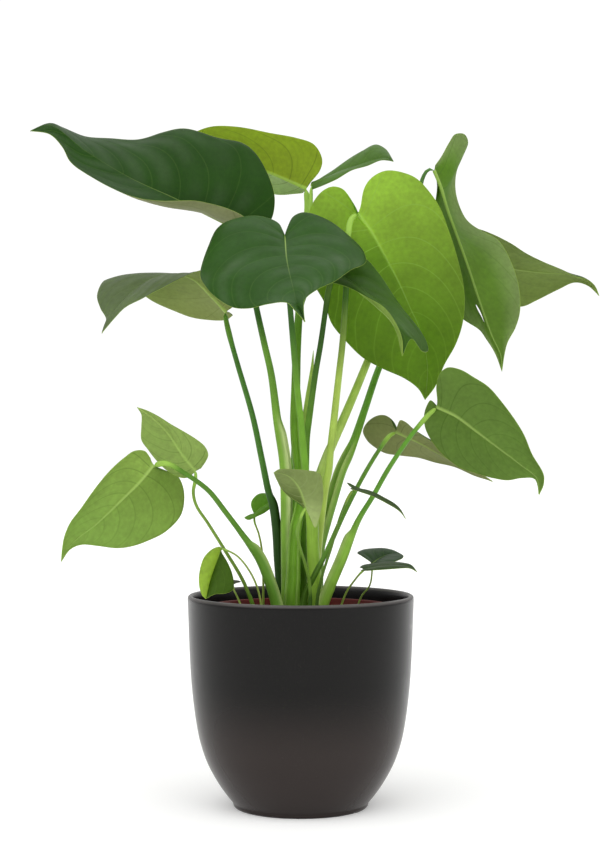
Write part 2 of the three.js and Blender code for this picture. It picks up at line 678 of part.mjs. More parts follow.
// A folded leaf behind it.
leaf("low_right_back", {
  rib: [[84, 22, 331], [104, 20, 322], [122, 18, 312], [148, 12, 298], [170, 8, 287]],
  right: [
    [85, 18, 335], [88, 10, 341], [93, 4, 339], [101, -1, 332], [111, -5, 325], [124, -6, 318],
    [141, -3, 306], [156, 2, 296],
  ],
  left: [
    [82, 26, 336], [78, 32, 344], [71, 38, 346], [63, 44, 343], [57, 48, 337], [55, 51, 331],
    [59, 54, 323], [66, 55, 317], [75, 55, 312], [88, 52, 310], [104, 48, 308], [118, 42, 304],
    [136, 31, 300], [154, 20, 292],
  ],
  arch: [3, 3],
  stalk: [
    [0, -34, 158], [4, -36, 186], [12, -46, 203], [24, -48, 227], [38, -36, 258], [56, -12, 293],
    [70, 6, 316], [79, 16, 328],
  ],
  radii: [3.2, 2.7, 2.6, 2.1],
  sheath: 0.3,
  grid: [13, 3],
  stalkGrid: [15, 8],
});

// A narrow leaf seen edge on, right of the stalks.
leaf("edge_right", {
  rib: [[46, -62, 280], [60, -66, 277], [75, -70, 270], [87, -74, 263], [93, -76, 254]],
  right: [
    [44, -66, 281], [45, -73, 280], [52, -79, 278], [64, -81, 274], [76, -81, 268], [87, -79, 261],
  ],
  left: [
    [43, -58, 283], [41, -52, 286], [50, -50, 281], [62, -54, 278], [75, -60, 272], [86, -68, 265],
  ],
  arch: [1, 1],
  stalk: [
    [13.5, -48, 158], [15, -48.5, 184], [19.5, -51, 205], [27.5, -56, 230], [35, -59.5, 256],
    [42, -61, 273],
  ],
  radii: [2.0, 1.56, 1.5, 1.2],
  sheath: 0.3,
  grid: [8, 2],
  stalkGrid: [9, 6],
});

// A small dark leaf low on the right.
leaf("rim_right_back", {
  rib: [[63, -4, 214], [70, 8, 219], [80, 20, 223], [90, 30, 222]],
  right: [[66, -9, 213], [73, -12, 214], [80, -8, 215], [86, 2, 217], [90, 13, 219], [91, 22, 221]],
  left: [
    [60, -6, 217], [54, -2, 221], [50, 5, 224], [55, 15, 227], [64, 24, 228], [73, 30, 228],
    [82, 32, 226],
  ],
  arch: [2, 2],
  stalk: [[46, 4, 158], [53, 2, 184], [61, -2, 195], [63, -4, 206]],
  radii: [1.3, 1.01, 1.0, 0.9],
  sheath: 0.2,
  grid: [8, 2],
  stalkGrid: [9, 6],
});

// A small flat leaf in front of it.
leaf("rim_right", {
  rib: [[56, -34, 209], [70, -34, 212], [85, -33, 213], [97, -32, 211], [103, -32, 207]],
  right: [[53, -38, 208], [58, -45, 208], [71, -47, 209], [85, -44, 210], [96, -38, 210]],
  left: [
    [52, -29, 211], [55, -22, 213], [67, -18, 215], [78, -18, 216], [90, -22, 215], [98, -27, 213],
  ],
  arch: [1, 1],
  stalk: [[30, -18, 158], [40, -24, 188], [48, -30, 200], [53, -33, 206]],
  radii: [1.5, 1.17, 1.2, 1.0],
  sheath: 0.2,
  grid: [8, 2],
  stalkGrid: [9, 6],
});

// The tip of the next leaf, still rolled up, among the stalks.
const spearPath = [
  [-4.5, 20, 158], [-4, 19, 220], [-2, 15, 271], [0, 14, 298], [1.5, 13, 326], [3.4, 11, 342], [6.8, 7, 364],
  [9.8, 2, 385], [11.2, -1, 403],
].map(seen);
const spearRadii = [2.3, 2.8, 2.4, 0.4];
add("new_leaf", stalkBody(spearPath, spearRadii, 0.85, 0, 12, 6), 0x8fbf45, 0.45);
roots.push(stalkBody(spearPath, spearRadii, 0.85, HOLE_CLEARANCE, 12, 6));

// Soil

// Potting mix, slightly domed, with a plain hole for each root.
const soilProfile = [
  [0, 11.7], [48.2, 11.7], [49.6, 12.9], [78.7, 163.5], [79.6, 166], [72, 168], [52, 170], [28, 171], [0, SOIL_TOP],
];
let soil = toManifold(turned(soilProfile, NURSERY_SIDES));
for (const root of roots) {
  const hole = toManifold(root);
  soil = soil.subtract(hole.add(hole.translate([0, 0, -1])));
}
add("soil", toGeometry(soil), 0x3a2a20, 0.95);

export default plant;
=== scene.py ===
"""A potted swiss cheese plant for its render: cover pot, nursery pot, soil and twenty leaves."""

import bpy
import numpy as np
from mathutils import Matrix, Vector


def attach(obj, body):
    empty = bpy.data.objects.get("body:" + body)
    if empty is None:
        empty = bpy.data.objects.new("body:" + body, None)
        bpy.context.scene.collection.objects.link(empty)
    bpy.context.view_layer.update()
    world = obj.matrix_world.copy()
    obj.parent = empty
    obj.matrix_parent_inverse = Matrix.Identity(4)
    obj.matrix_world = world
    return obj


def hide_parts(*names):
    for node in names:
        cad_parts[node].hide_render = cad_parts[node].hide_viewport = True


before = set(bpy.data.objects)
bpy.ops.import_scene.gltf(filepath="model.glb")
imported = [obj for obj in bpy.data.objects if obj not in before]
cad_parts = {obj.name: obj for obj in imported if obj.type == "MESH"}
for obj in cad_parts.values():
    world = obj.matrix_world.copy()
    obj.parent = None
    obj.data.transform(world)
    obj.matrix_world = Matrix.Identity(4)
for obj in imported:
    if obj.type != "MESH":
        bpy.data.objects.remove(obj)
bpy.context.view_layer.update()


# Cover pot
# A slip-cast stoneware bowl with a matte anthracite engobe: a small turned foot, a belly that opens
# into a nearly straight wall 5.5 mm thick, and a rounded lip. It stands on its foot.


def linear(code):
    """A hex colour as linear light, by the sRGB curve."""
    srgb = np.array([int(code[i : i + 2], 16) / 255 for i in (1, 3, 5)])
    light = np.where(srgb <= 0.04045, srgb / 12.92, ((srgb + 0.055) / 1.055) ** 2.4)
    return (*light.tolist(), 1.0)


def add_node(tree, kind, inputs=(), **settings):
    """Adds a node of a kind with its settings; its inputs go in by name or by number.

    An input is a value, a hex colour, a socket to link, or a node, of which the first output in use is
    linked.
    """
    node = tree.nodes.new("ShaderNode" + kind)
    for key, value in settings.items():
        setattr(node, key, value)
    for key, value in dict(inputs).items():
        if isinstance(value, str):
            value = linear(value)
        if isinstance(value, bpy.types.Node):
            value = next(output for output in value.outputs if output.enabled)
        if isinstance(value, bpy.types.NodeSocket):
            tree.links.new(value, node.inputs[key])
        else:
            node.inputs[key].default_value = value
    return node


def new_material(name):
    """A material of that name, its node tree and the place on the object that its patterns read."""
    material = bpy.data.materials.new(name)
    material.use_nodes = True
    tree = material.node_tree
    tree.nodes.clear()
    return material, tree, add_node(tree, "TexCoord").outputs["Object"]


def make_piece(name, points, faces, material, slot, node=None, uv=None, **values):
    """A smooth mesh of points in millimetres that rides on the plant and stands for a solid of the frame.

    faces is a list of arrays of corner numbers. values holds, for the material, a number or a colour per
    point.
    """
    sizes = np.concatenate([np.full(len(group), group.shape[1]) for group in faces])
    corners = np.concatenate([group.ravel() for group in faces])
    mesh = bpy.data.meshes.new(name)
    mesh.vertices.add(len(points))
    mesh.vertices.foreach_set("co", (np.asarray(points, float) / 1000).ravel())
    mesh.loops.add(len(corners))
    mesh.loops.foreach_set("vertex_index", corners)
    mesh.polygons.add(len(sizes))
    mesh.polygons.foreach_set("loop_start", np.concatenate([[0], np.cumsum(sizes)[:-1]]))
    mesh.polygons.foreach_set("use_smooth", np.ones(len(sizes), bool))
    mesh.update(calc_edges=True)
    if uv is not None:
        mesh.uv_layers.new(name="surface").data.foreach_set("uv", np.asarray(uv, float)[corners].ravel())
    for key, numbers in values.items():
        numbers = np.asarray(numbers, np.float32)
        if numbers.ndim == 1:
            mesh.attributes.new(key, "FLOAT", "POINT").data.foreach_set("value", numbers)
        else:
            colours = np.column_stack([numbers, np.ones(len(numbers), np.float32)])
            mesh.attributes.new(key, "FLOAT_COLOR", "POINT").data.foreach_set("color", colours.ravel())
    mesh.validate()
    mesh.materials.append(material)
    piece = bpy.data.objects.new(name, mesh)
    bpy.context.scene.collection.objects.link(piece)
    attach(piece, "root")
    if node:
        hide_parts(node)


def smooth_curve(points, steps):
    """A centripetal Catmull-Rom curve through the points, cut into steps of equal length.

    Its knots are spaced by the square root of the distance between points, and a mirrored point stands
    before the first and after the last.
    """
    points = np.asarray(points, float)
    padded = np.vstack([2 * points[0] - points[1], points, 2 * points[-1] - points[-2]])
    gap = np.sqrt(np.linalg.norm(np.diff(padded, axis=0), axis=1))[:, None]
    slope = np.diff(padded, axis=0) / gap
    tangent = slope[:-1] + slope[1:] - (padded[2:] - padded[:-2]) / (gap[:-1] + gap[1:])
    start, end, span = points[:-1, None], points[1:, None], gap[1:-1, None]
    leave, arrive = tangent[:-1, None] * span, tangent[1:, None] * span
    u = np.linspace(0, 1, 41)[None, :-1, None]
    fine = start + leave * u + (3 * (end - start) - 2 * leave - arrive) * u**2
    fine = (fine + (2 * (start - end) + leave + arrive) * u**3).reshape(-1, points.shape[1])
    fine = np.vstack([fine, points[-1]])
    length = np.concatenate([[0], np.cumsum(np.linalg.norm(np.diff(fine, axis=0), axis=1))])
    even = np.linspace(0, length[-1], steps + 1)
    return np.stack([np.interp(even, length, fine[:, k]) for k in range(points.shape[1])], 1)


def closed_body(rings, first, last):
    """The points and faces of a body: quads from ring to ring, and a fan from each end point to its ring.

    The rings run against the clock as seen from the last end, so that the faces look out of the body.
    """
    steps, around = rings.shape[:2]
    count = steps * around
    i, j = np.meshgrid(np.arange(steps - 1) * around, np.arange(around), indexing="ij")
    k = (j + 1) % around
    band = np.stack([i + j, i + k, i + k + around, i + j + around], -1).reshape(-1, 4)
    j, k = j[0], k[0]
    foot = np.stack([np.full(around, count), k, j], -1)
    head = np.stack([count - around + j, count - around + k, np.full(around, count + 1)], -1)
    return np.vstack([rings.reshape(-1, 3), first, last]), [band, foot, head]


def circles(radius, height, turn):
    """One ring of points for each radius and height, at the same angles."""
    return np.stack([radius * np.cos(turn), radius * np.sin(turn), height + 0 * turn], -1)


def turned(profile, around):
    """A closed body round the vertical axis: each radius, height pair becomes a ring, the ends points."""
    profile = np.asarray(profile, float)
    turn = np.linspace(0, 2 * np.pi, around, endpoint=False)
    rings = circles(profile[1:-1, :1], profile[1:-1, 1:], turn)
    return closed_body(rings, [0, 0, profile[0, 1]], [0, 0, profile[-1, 1]])


pot_outside = [
    [60.3, 4.6], [65.6, 11], [73.6, 22.5], [82.5, 39], [88.2, 55], [91.8, 71], [96.1, 104],
    [98.2, 136], [99.3, 166], [99.95, 182.5],
]
pot_lip = [[99.9, 184.6], [99.4, 186], [98.4, 186.75], [97.2, 186.8], [96, 186.2], [95.2, 184.9]]
pot_inside = [
    [94.7, 182], [93.8, 166], [92.7, 136], [90.6, 104], [86.4, 71], [82.8, 56], [77, 41], [69, 27],
    [60, 16], [53, 10.5],
]
pot_profile = [
    [0, 0], [30, 0], [57.2, 0], [58.5, 0.4], [59.4, 1.4], [59.8, 2.8], [60, 4.2],
    *smooth_curve(pot_outside, 60).tolist(),
    *pot_lip,
    *smooth_curve(pot_inside, 44).tolist(),
    [50, 9.1], [30, 9], [0, 9],
]
pot_points, pot_faces = turned(pot_profile, 192)

engobe, tree, place = new_material("matte_anthracite_engobe")
# Fired clay slip without glaze: the sheen is broad and weak. The belly is painted lighter towards the
# foot, as the white floor would light it from below.
# Grog shows as specks of 0.5 mm and wiping has left clouds 40 mm wide. The lip is painted paler: a
# painted highlight along its rounding that also stands for a little wear.
cloud = add_node(tree, "TexNoise", {"Vector": place, "Scale": 22, "Detail": 3, "Roughness": 0.55})
grog = add_node(tree, "TexNoise", {"Vector": place, "Scale": 1400, "Detail": 2})
smudge = add_node(tree, "TexNoise", {"Vector": place, "Scale": 34, "Detail": 2, "Distortion": 0.6})
base = add_node(tree, "Mix", {0: cloud, 6: "#080706", 7: "#0e0c0b"}, data_type="RGBA")
height = add_node(tree, "SeparateXYZ", {0: place}).outputs["Z"]
# Painted light: the colour turns to a lighter grey-brown down the belly, as if lit from the floor below.
belly = add_node(
    tree, "MapRange",
    {"Value": height, "From Min": 0.118, "From Max": 0.05, "To Max": 1}, interpolation_type="SMOOTHSTEP",
)
bounce_lit_belly = add_node(tree, "Mix", {0: belly, 6: base, 7: "#322b29"}, data_type="RGBA")
speck = add_node(tree, "MapRange", {"Value": grog, "From Min": 0.66, "From Max": 0.76, "To Max": 0.22})
speckled = add_node(tree, "Mix", {0: speck, 6: bounce_lit_belly, 7: "#5b5450"}, data_type="RGBA")
# Painted highlight: a pale band round the rounded lip, which also stands for a little wear.
lip = add_node(
    tree, "MapRange", {"Value": height, "From Min": 0.1835, "From Max": 0.186, "To Max": 0.35},
    interpolation_type="SMOOTHSTEP",
)
lip_highlight_and_wear = add_node(tree, "Mix", {0: lip, 6: speckled, 7: "#8c8684"}, data_type="RGBA")
rubbed = add_node(
    tree, "MapRange",
    {"Value": smudge, "From Min": 0.57, "From Max": 0.7, "To Min": 0.26, "To Max": 0.2},
    interpolation_type="SMOOTHSTEP",
)
grain = add_node(tree, "Bump", {"Strength": 0.1, "Distance": 0.0002, "Height": grog})
surface = add_node(
    tree, "BsdfPrincipled",
    {"Base Color": lip_highlight_and_wear, "Roughness": rubbed, "IOR": 1.5, "Specular IOR Level": 0.22, "Normal": grain},
)
add_node(tree, "OutputMaterial", {"Surface": surface})

make_piece("stoneware_cover_pot", pot_points, pot_faces, engobe, "pot_ceramic", "cover_pot")


# Nursery pot
# The thin moulded polypropylene pot that the plant was grown in, red-brown and dull, with a doubled
# rim. It stands loose on the cover pot's floor, and only its rim shows.

nursery_profile = [
    [0, 9.3], [30, 9.3], [48.8, 9.3], [49.9, 9.8], [51.2, 11.5], [66, 88], [80.4, 165.2], [81.2, 166],
    [84.9, 166.1], [85.9, 166.8], [86.2, 168], [86.2, 174.3], [85.9, 175.8], [85, 176.5], [84.2, 176.5],
    [83.4, 176.1], [83, 175], [82.3, 168], [81.6, 166.6], [79.4, 164.2], [64.8, 88], [50, 12.6],
    [48.6, 11.4], [30, 11.3], [0, 11.3],
]
nursery_points, nursery_faces = turned(nursery_profile, 144)

polypropylene, tree, place = new_material("red_brown_polypropylene")
# Moulded from recycled plastic: satin and rather dark, with dried soil dusted over the rim in patches.
dust = add_node(tree, "TexNoise", {"Vector": place, "Scale": 160, "Detail": 5, "Roughness": 0.7})
soiled = add_node(tree, "MapRange", {"Value": dust, "From Min": 0.52, "From Max": 0.75, "To Max": 0.6})
tint = add_node(tree, "Mix", {0: soiled, 6: "#5e1710", 7: "#44241b"}, data_type="RGBA")
grain = add_node(tree, "Bump", {"Strength": 0.2, "Distance": 0.0003, "Height": dust})
surface = add_node(
    tree, "BsdfPrincipled",
    {"Base Color": tint, "Roughness": 0.5, "IOR": 1.49, "Specular IOR Level": 0.2, "Normal": grain},
)
add_node(tree, "OutputMaterial", {"Surface": surface})

make_piece(
    "nursery_pot_shell", nursery_points, nursery_faces, polypropylene, "nursery_plastic", "nursery_pot",
)


# Soil
# Peaty potting mix that fills the nursery pot to just under its rim, slightly domed round the stalks.
# Its surface is uneven by a millimetre or two.


def smoothstep(value, low, high):
    """0 below low, 1 above high, and an even S between."""
    t = np.clip((value - low) / (high - low), 0, 1)
    return t * t * (3 - 2 * t)


def wander(x, y, scale, seed):
    """Smooth random heights, mostly -1 to 1: a sum of eight sine waves of mixed direction, scale long."""
    random = np.random.default_rng(seed)
    total = 0 * (x + y)
    for _ in range(8):
        way, phase = random.uniform(0, 2 * np.pi, 2)
        stretch = random.uniform(0.7, 1.6)
        across = x * np.cos(way) + y * np.sin(way)
        total = total + np.sin(across * 2 * np.pi / (scale * stretch) + phase)
    return total / 3.2


soil_radius = 79.4


def soil_height(x, y):
    """The soil's surface: a low dome with hollows 30 mm wide and lumps 7 mm wide, level at the wall."""
    out = np.hypot(x, y) / soil_radius
    lumps = 0.9 * wander(x, y, 30, 11) + 0.6 * wander(x, y, 7, 12)
    return 171.2 - 5 * out**4 + lumps * smoothstep(1 - out, 0, 0.12)


turn = np.linspace(0, 2 * np.pi, 240, endpoint=False)
wall = np.array([[30, 11.7], [47.5, 11.7], [49.2, 12.9], [78.2, 163.4], [79.1, 165]])
out, angle = np.meshgrid(np.linspace(soil_radius, 1, 74), turn, indexing="ij")
top_x, top_y = out * np.cos(angle), out * np.sin(angle)
top_rings = np.stack([top_x, top_y, soil_height(top_x, top_y)], -1)
soil_rings = np.vstack([circles(wall[:, :1], wall[:, 1:], turn), top_rings])
soil_points, soil_faces = closed_body(soil_rings, [0, 0, 11.7], [0, 0, soil_height(0.0, 0.0)])

peat, tree, place = new_material("moist_peat_mix")
# Moist peat: nearly black-brown and dull, with lighter fibres and grit of about 2 mm.
lumps = add_node(tree, "TexNoise", {"Vector": place, "Scale": 120, "Detail": 6, "Roughness": 0.7})
grit = add_node(tree, "TexVoronoi", {"Vector": place, "Scale": 420})
light = add_node(tree, "MapRange", {"Value": lumps, "From Min": 0.35, "From Max": 0.75})
tone = add_node(tree, "Mix", {0: light, 6: "#1c120c", 7: "#5a3d2a"}, data_type="RGBA")
relief = add_node(tree, "Math", {0: lumps, 1: grit}, operation="ADD")
crumbly = add_node(tree, "Bump", {"Strength": 0.9, "Distance": 0.002, "Height": relief})
surface = add_node(
    tree, "BsdfPrincipled", {"Base Color": tone, "Roughness": 0.95, "IOR": 1.4, "Normal": crumbly}
)
add_node(tree, "OutputMaterial", {"Surface": surface})

make_piece("potting_soil", soil_points, soil_faces, peat, "potting_mix", "soil")


# Crumbs on the soil
# Loose peat crumbs, chips of bark and a few ochre grains, one to five millimetres long, that lie half
# sunk in the surface. Each is a twenty-sided lump, squashed and turned at random.

random = np.random.default_rng(5)
crumbs = 1500
golden = (1 + 5**0.5) / 2
lump = np.array([
    [-1, golden, 0], [1, golden, 0], [-1, -golden, 0], [1, -golden, 0], [0, -1, golden], [0, 1, golden],
    [0, -1, -golden], [0, 1, -golden], [golden, 0, -1], [golden, 0, 1], [-golden, 0, -1], [-golden, 0, 1],
]) / (golden + 2) ** 0.5
lump_faces = np.array([
    [0, 11, 5], [0, 5, 1], [0, 1, 7], [0, 7, 10], [0, 10, 11], [1, 5, 9], [5, 11, 4], [11, 10, 2],
    [10, 7, 6], [7, 1, 8], [3, 9, 4], [3, 4, 2], [3, 2, 6], [3, 6, 8], [3, 8, 9], [4, 9, 5], [2, 4, 11],
    [6, 2, 10], [8, 6, 7], [9, 8, 1],
])
out = 77 * np.sqrt(random.uniform(0.01, 1, crumbs))
way = random.uniform(0, 2 * np.pi, crumbs)
crumb_x, crumb_y = out * np.cos(way), out * np.sin(way)
size = 0.5 + 1.9 * random.random(crumbs) ** 3
shape = lump * random.uniform(0.75, 1.25, (crumbs, 12, 1)) * size[:, None, None]
shape = shape * random.uniform([0.8, 0.6, 0.4], [1.6, 1.1, 0.9], (crumbs, 3))[:, None]
spin = random.uniform(0, 2 * np.pi, crumbs)[:, None]
crumb_points = np.stack([
    crumb_x[:, None] + shape[..., 0] * np.cos(spin) - shape[..., 1] * np.sin(spin),
    crumb_y[:, None] + shape[..., 0] * np.sin(spin) + shape[..., 1] * np.cos(spin),
    (soil_height(crumb_x, crumb_y) + 0.25 * size)[:, None] + shape[..., 2],
], -1)
crumb_faces = (lump_faces + 12 * np.arange(crumbs)[:, None, None]).reshape(-1, 3)
# Most crumbs are peat, about one in eight is bark and one in sixty an ochre grain.
crumb_tints = np.array([linear(code)[:3] for code in ("#24170f", "#3a281c", "#64402a", "#b9822e")])
crumb_kind = np.searchsorted([0.5, 0.86, 0.985], random.random(crumbs))

crumb_mix, tree, place = new_material("peat_crumbs_and_bark")
# Dry, rough and dull; each crumb has one colour, rubbed lighter and darker at half a millimetre.
rub = add_node(tree, "TexNoise", {"Vector": place, "Scale": 900, "Detail": 3})
tint = add_node(tree, "Attribute", attribute_name="tint").outputs["Color"]
shade = add_node(tree, "MapRange", {"Value": rub, "To Min": 0.5, "To Max": 1.5})
rubbed = add_node(tree, "HueSaturation", {"Color": tint, "Value": shade})
rough = add_node(tree, "Bump", {"Strength": 0.6, "Distance": 0.0006, "Height": rub})
surface = add_node(
    tree, "BsdfPrincipled", {"Base Color": rubbed, "Roughness": 0.9, "IOR": 1.4, "Normal": rough}
)
add_node(tree, "OutputMaterial", {"Surface": surface})

make_piece(
    "soil_crumbs", crumb_points.reshape(-1, 3), [crumb_faces], crumb_mix, "potting_mix",
    tint=np.repeat(crumb_tints[crumb_kind], 12, axis=0),
)


# The largest leaf, upper left
# A leathery blade on a long stalk. The blade is a heart with a raised rib beneath and eight side veins
# to each half; its near wing curls up at the base. The stalk's foot is a winged sheath in the soil.

eye_away = 1720
eye_high = 345


def seen(points):
    """Points written as the front view shows them (across, depth, up), moved to where they really are.

    The eye sees the plane of the pot's axis at its true size. What lies behind that plane is really
    further from the line of sight than it looks, in proportion to its distance from the eye.
    """
    points = np.asarray(points, float)
    grow = 1 + points[..., 1] / eye_away
    across, depth, up = points[..., 0], points[..., 1], points[..., 2]
    return np.stack([across * grow, depth, eye_high + (up - eye_high) * grow], -1)


def unit(vectors):
    """The vectors at length one."""
    return vectors / np.maximum(np.linalg.norm(vectors, axis=-1, keepdims=True), 1e-9)


def along(curve, share):
    """The points at these shares of a curve's length."""
    where = np.clip(share, 0, 1) * (len(curve) - 1)
    low = np.clip(where.astype(int), 0, len(curve) - 2)
    rest = (where - low)[..., None]
    return curve[low] * (1 - rest) + curve[low + 1] * rest


def bell(distance, width):
    """1 at distance 0, a third at width, and next to nothing at twice that."""
    return np.exp(-((distance / width) ** 2))


def wing(spine, margin, sign, arch, share, reach):
    """Half of a blade's middle surface; share runs along the margin to the tip, reach from rib to margin.

    Each share has its side vein, a parabola that leaves the rib steeply and bends to the tip. Near the
    lobes the veins leave the rib's first end; further on their starts creep along it. The surface bulges
    by the wing's arch, in proportion to the wing's width there.
    """
    lobe = 0.06
    late = np.clip((share - lobe) / (1 - lobe), 0, 1) ** 1.4
    on = np.where(share < lobe, 0.25 * share, 0.015 + 0.985 * late)
    start = along(spine, on)
    heading = unit(along(spine, on + 0.01) - along(spine, on - 0.01))
    way = along(margin, share) - start
    forward = np.sum(way * heading, -1, keepdims=True) * heading
    across = way - forward
    width = np.linalg.norm(across, axis=-1, keepdims=True)
    up = sign * unit(np.cross(across, heading))
    v = reach[..., None]
    bend = 2 * v * (1 - v) * (0.3 * forward + 0.6 * across)
    bulge = 4 * arch * width / width.max()
    return start + bend + v * v * way + v * (1 - v) * bulge * up


def blade(rib, right, left, arch, veins, columns, wave, seed, hole=None):
    """A blade as a closed shell: its points, faces, UV and the values that its material reads.

    The middle surface is lifted between the side veins and waved towards the margin. The upper face has a
    groove along each vein and the under face a ridge, and the edge is thin. A side vein is a line on
    which lane is a whole number: it leaves the rib steeply and arches to the tip. hole is (sign of the
    half, share, reach, half length, half width) of an ellipse that is left open.
    """
    rows_per_vein = 18
    half_thickness = 0.32
    full_grown = 55  # the half width at which veins and hollows reach their full depth
    rows = np.linspace(0, 1, rows_per_vein * (veins + 1) + 1)
    steps = np.linspace(0, 1, columns + 1) ** 1.5
    spine = smooth_curve(seen(rib), 240)
    halves = []
    for sign, side, bulge in ((-1, left, arch[1]), (1, right, arch[0])):
        share, reach = np.meshgrid(rows, steps, indexing="ij")
        gone = np.zeros(share.shape, bool)
        if hole and hole[0] == sign:
            # Grid points well inside the ellipse go, and those near its line are drawn onto it.
            dx, dy = (share - hole[1]) / hole[3], (reach - hole[2]) / hole[4]
            far = np.hypot(dx, dy)
            gone = far < 0.72
            near = (far >= 0.72) & (far < 1.3)
            share = np.where(near, hole[1] + dx / far * hole[3], share)
            reach = np.where(near, hole[2] + dy / far * hole[4], reach)
        margin = smooth_curve(seen(side + [rib[-1]]), 480)
        sheet = wing(spine, margin, sign, bulge, share, reach)
        halves.append((*sheet.transpose(2, 0, 1), share, reach, gone))
    # One grid from the left margin over the rib to the right margin.
    whole = [np.concatenate([a[:, :0:-1], b], axis=1) for a, b in zip(*halves)]
    points = np.stack(whole[:3], -1)
    share, reach, gone = whole[3], whole[4], whole[5].astype(bool)
    over, down = np.gradient(points, axis=1), np.gradient(points, axis=0)
    normal = unit(np.cross(over, down))
    normal[-1] = normal[-2]
    walk = np.cumsum(np.linalg.norm(np.diff(points, axis=1, prepend=points[:, :1]), axis=2), axis=1)
    off_rib = np.abs(walk - walk[:, columns : columns + 1])
    off_edge = np.minimum(walk, walk[:, -1:] - walk)
    length = np.cumsum(np.linalg.norm(np.diff(points, axis=0, prepend=points[:1]), axis=2), axis=0)
    lane = (veins + 1) * (share - 2 * share**2 * (1 - share) * reach**1.4)
    down_rate = np.gradient(lane, axis=0) / np.maximum(np.gradient(length, axis=0), 0.05)
    over_rate = np.gradient(lane, axis=1) / np.maximum(np.gradient(walk, axis=1), 0.05)
    spacing = 1 / np.maximum(np.hypot(down_rate, over_rate), 0.01)
    off_vein = np.abs(lane - np.clip(np.round(lane), 1, veins)) * spacing
    widest = off_rib.max()
    slim = np.clip(off_rib.max(1, keepdims=True) / widest, 0.05, 1)
    size = np.clip(widest / full_grown, 0.35, 1)
    grown = 1 - rows[:, None]
    inner = 1 - reach**2
    open_rib = smoothstep(off_rib, 0.5, 9)
    # All heights, depths and widths from here to the ridge are in millimetres.
    quilt = 0.9 * size * np.sin(np.pi * lane) ** 2 * (1 - 0.6 * share) * inner * slim * open_rib
    quilt = quilt * (0.75 + 0.5 * wander(length, walk, 40, seed + 3))
    ripple = wave * reach**2 * wander(length, walk, 75, seed)
    ripple = ripple + 0.2 * wave * reach**4 * np.sin(length / 6 + seed)
    middle = points + normal * (quilt + ripple * slim * smoothstep(length, 0, 12))[..., None]
    edge = half_thickness * np.sqrt(np.clip(1 - reach**16, 0.08, 1))
    groove = 0.25 * bell(off_rib, 1.1) * grown + 0.1 * bell(off_vein, 1.2) * inner * open_rib
    ridge = size * (0.4 + 1.0 * grown) * bell(off_rib, 0.6 + 0.9 * grown)
    ridge = ridge + 0.2 * bell(off_vein, 1.1) * inner * slim * open_rib
    upper = middle + normal * (edge - groove)[..., None]
    under = middle - normal * (edge + ridge)[..., None]
    index = np.arange(share.size).reshape(share.shape)
    index[-1] = index[-1, 0]  # the last row is the tip alone
    a, b = index[:-1, :-1].ravel(), index[:-1, 1:].ravel()
    c, d = index[1:, 1:].ravel(), index[1:, :-1].ravel()
    sheet = np.vstack([np.stack([a, b, c], -1), np.stack([a, c, d], -1)])
    sheet = sheet[~gone.ravel()[sheet].any(1)]
    p, q, r = sheet.T
    sheet = sheet[(p != q) & (q != r) & (p != r)]
    span = share.size
    edges = np.vstack([sheet[:, [0, 1]], sheet[:, [1, 2]], sheet[:, [2, 0]]])
    free = edges[~np.isin(edges[:, 0] * span + edges[:, 1], edges[:, 1] * span + edges[:, 0])]
    s, e = free[:, 0], free[:, 1]
    rim = np.vstack([np.stack([e, s, s + span], -1), np.stack([e, s + span, e + span], -1)])
    used, faces = np.unique(np.vstack([sheet, sheet[:, ::-1] + span, rim]), return_inverse=True)
    faces = faces.reshape(-1, 3)
    shell = np.vstack([upper.reshape(-1, 3), under.reshape(-1, 3)])[used]
    uv = np.stack([0.5 + 0.48 * reach * np.sign(walk - walk[:, columns : columns + 1]), share], -1)
    fields = {
        "rib": off_rib, "lane": lane, "spacing": spacing, "edge": off_edge, "far": share, "out": reach,
    }
    marks = {key: np.tile(values.ravel(), 2)[used] for key, values in fields.items()}
    side = np.repeat([[-1.0] * columns + [0.0] + [1.0] * columns], len(rows), axis=0)
    marks["side"] = np.tile(side.ravel(), 2)[used]
    marks["upper"] = np.repeat([1.0, 0.0], span)[used]
    return shell, [faces], np.tile(uv.reshape(-1, 2), (2, 1))[used], marks


def seat(rib, right, left):
    """Where a blade meets its stalk: the rib's first point, and the way that its upper side faces."""
    spine = smooth_curve(seen(rib), 100)
    heading = unit(spine[1] - spine[0])
    to_right = seen(right[min(2, len(right) - 1)]) - spine[0]
    to_left = seen(left[min(2, len(left) - 1)]) - spine[0]
    return spine[0], unit(unit(np.cross(to_right, heading)) + unit(np.cross(heading, to_left)))


# Half of a stalk's section, from the middle of its outer side round to the middle of its inner side, in
# shares of its half width and half depth: round above the sheath, a winged gutter in it.
round_half = [
    [0, -1], [0.42, -0.9], [0.76, -0.64], [0.97, -0.2], [0.97, 0.25], [0.8, 0.6], [0.55, 0.8],
    [0.28, 0.88], [0, 0.88],
]
gutter_half = [
    [0, -1], [0.45, -0.92], [0.82, -0.6], [1, -0.05], [0.94, 0.55], [0.72, 1], [0.63, 0.98], [0.42, 0.35],
    [0, 0.05],
]


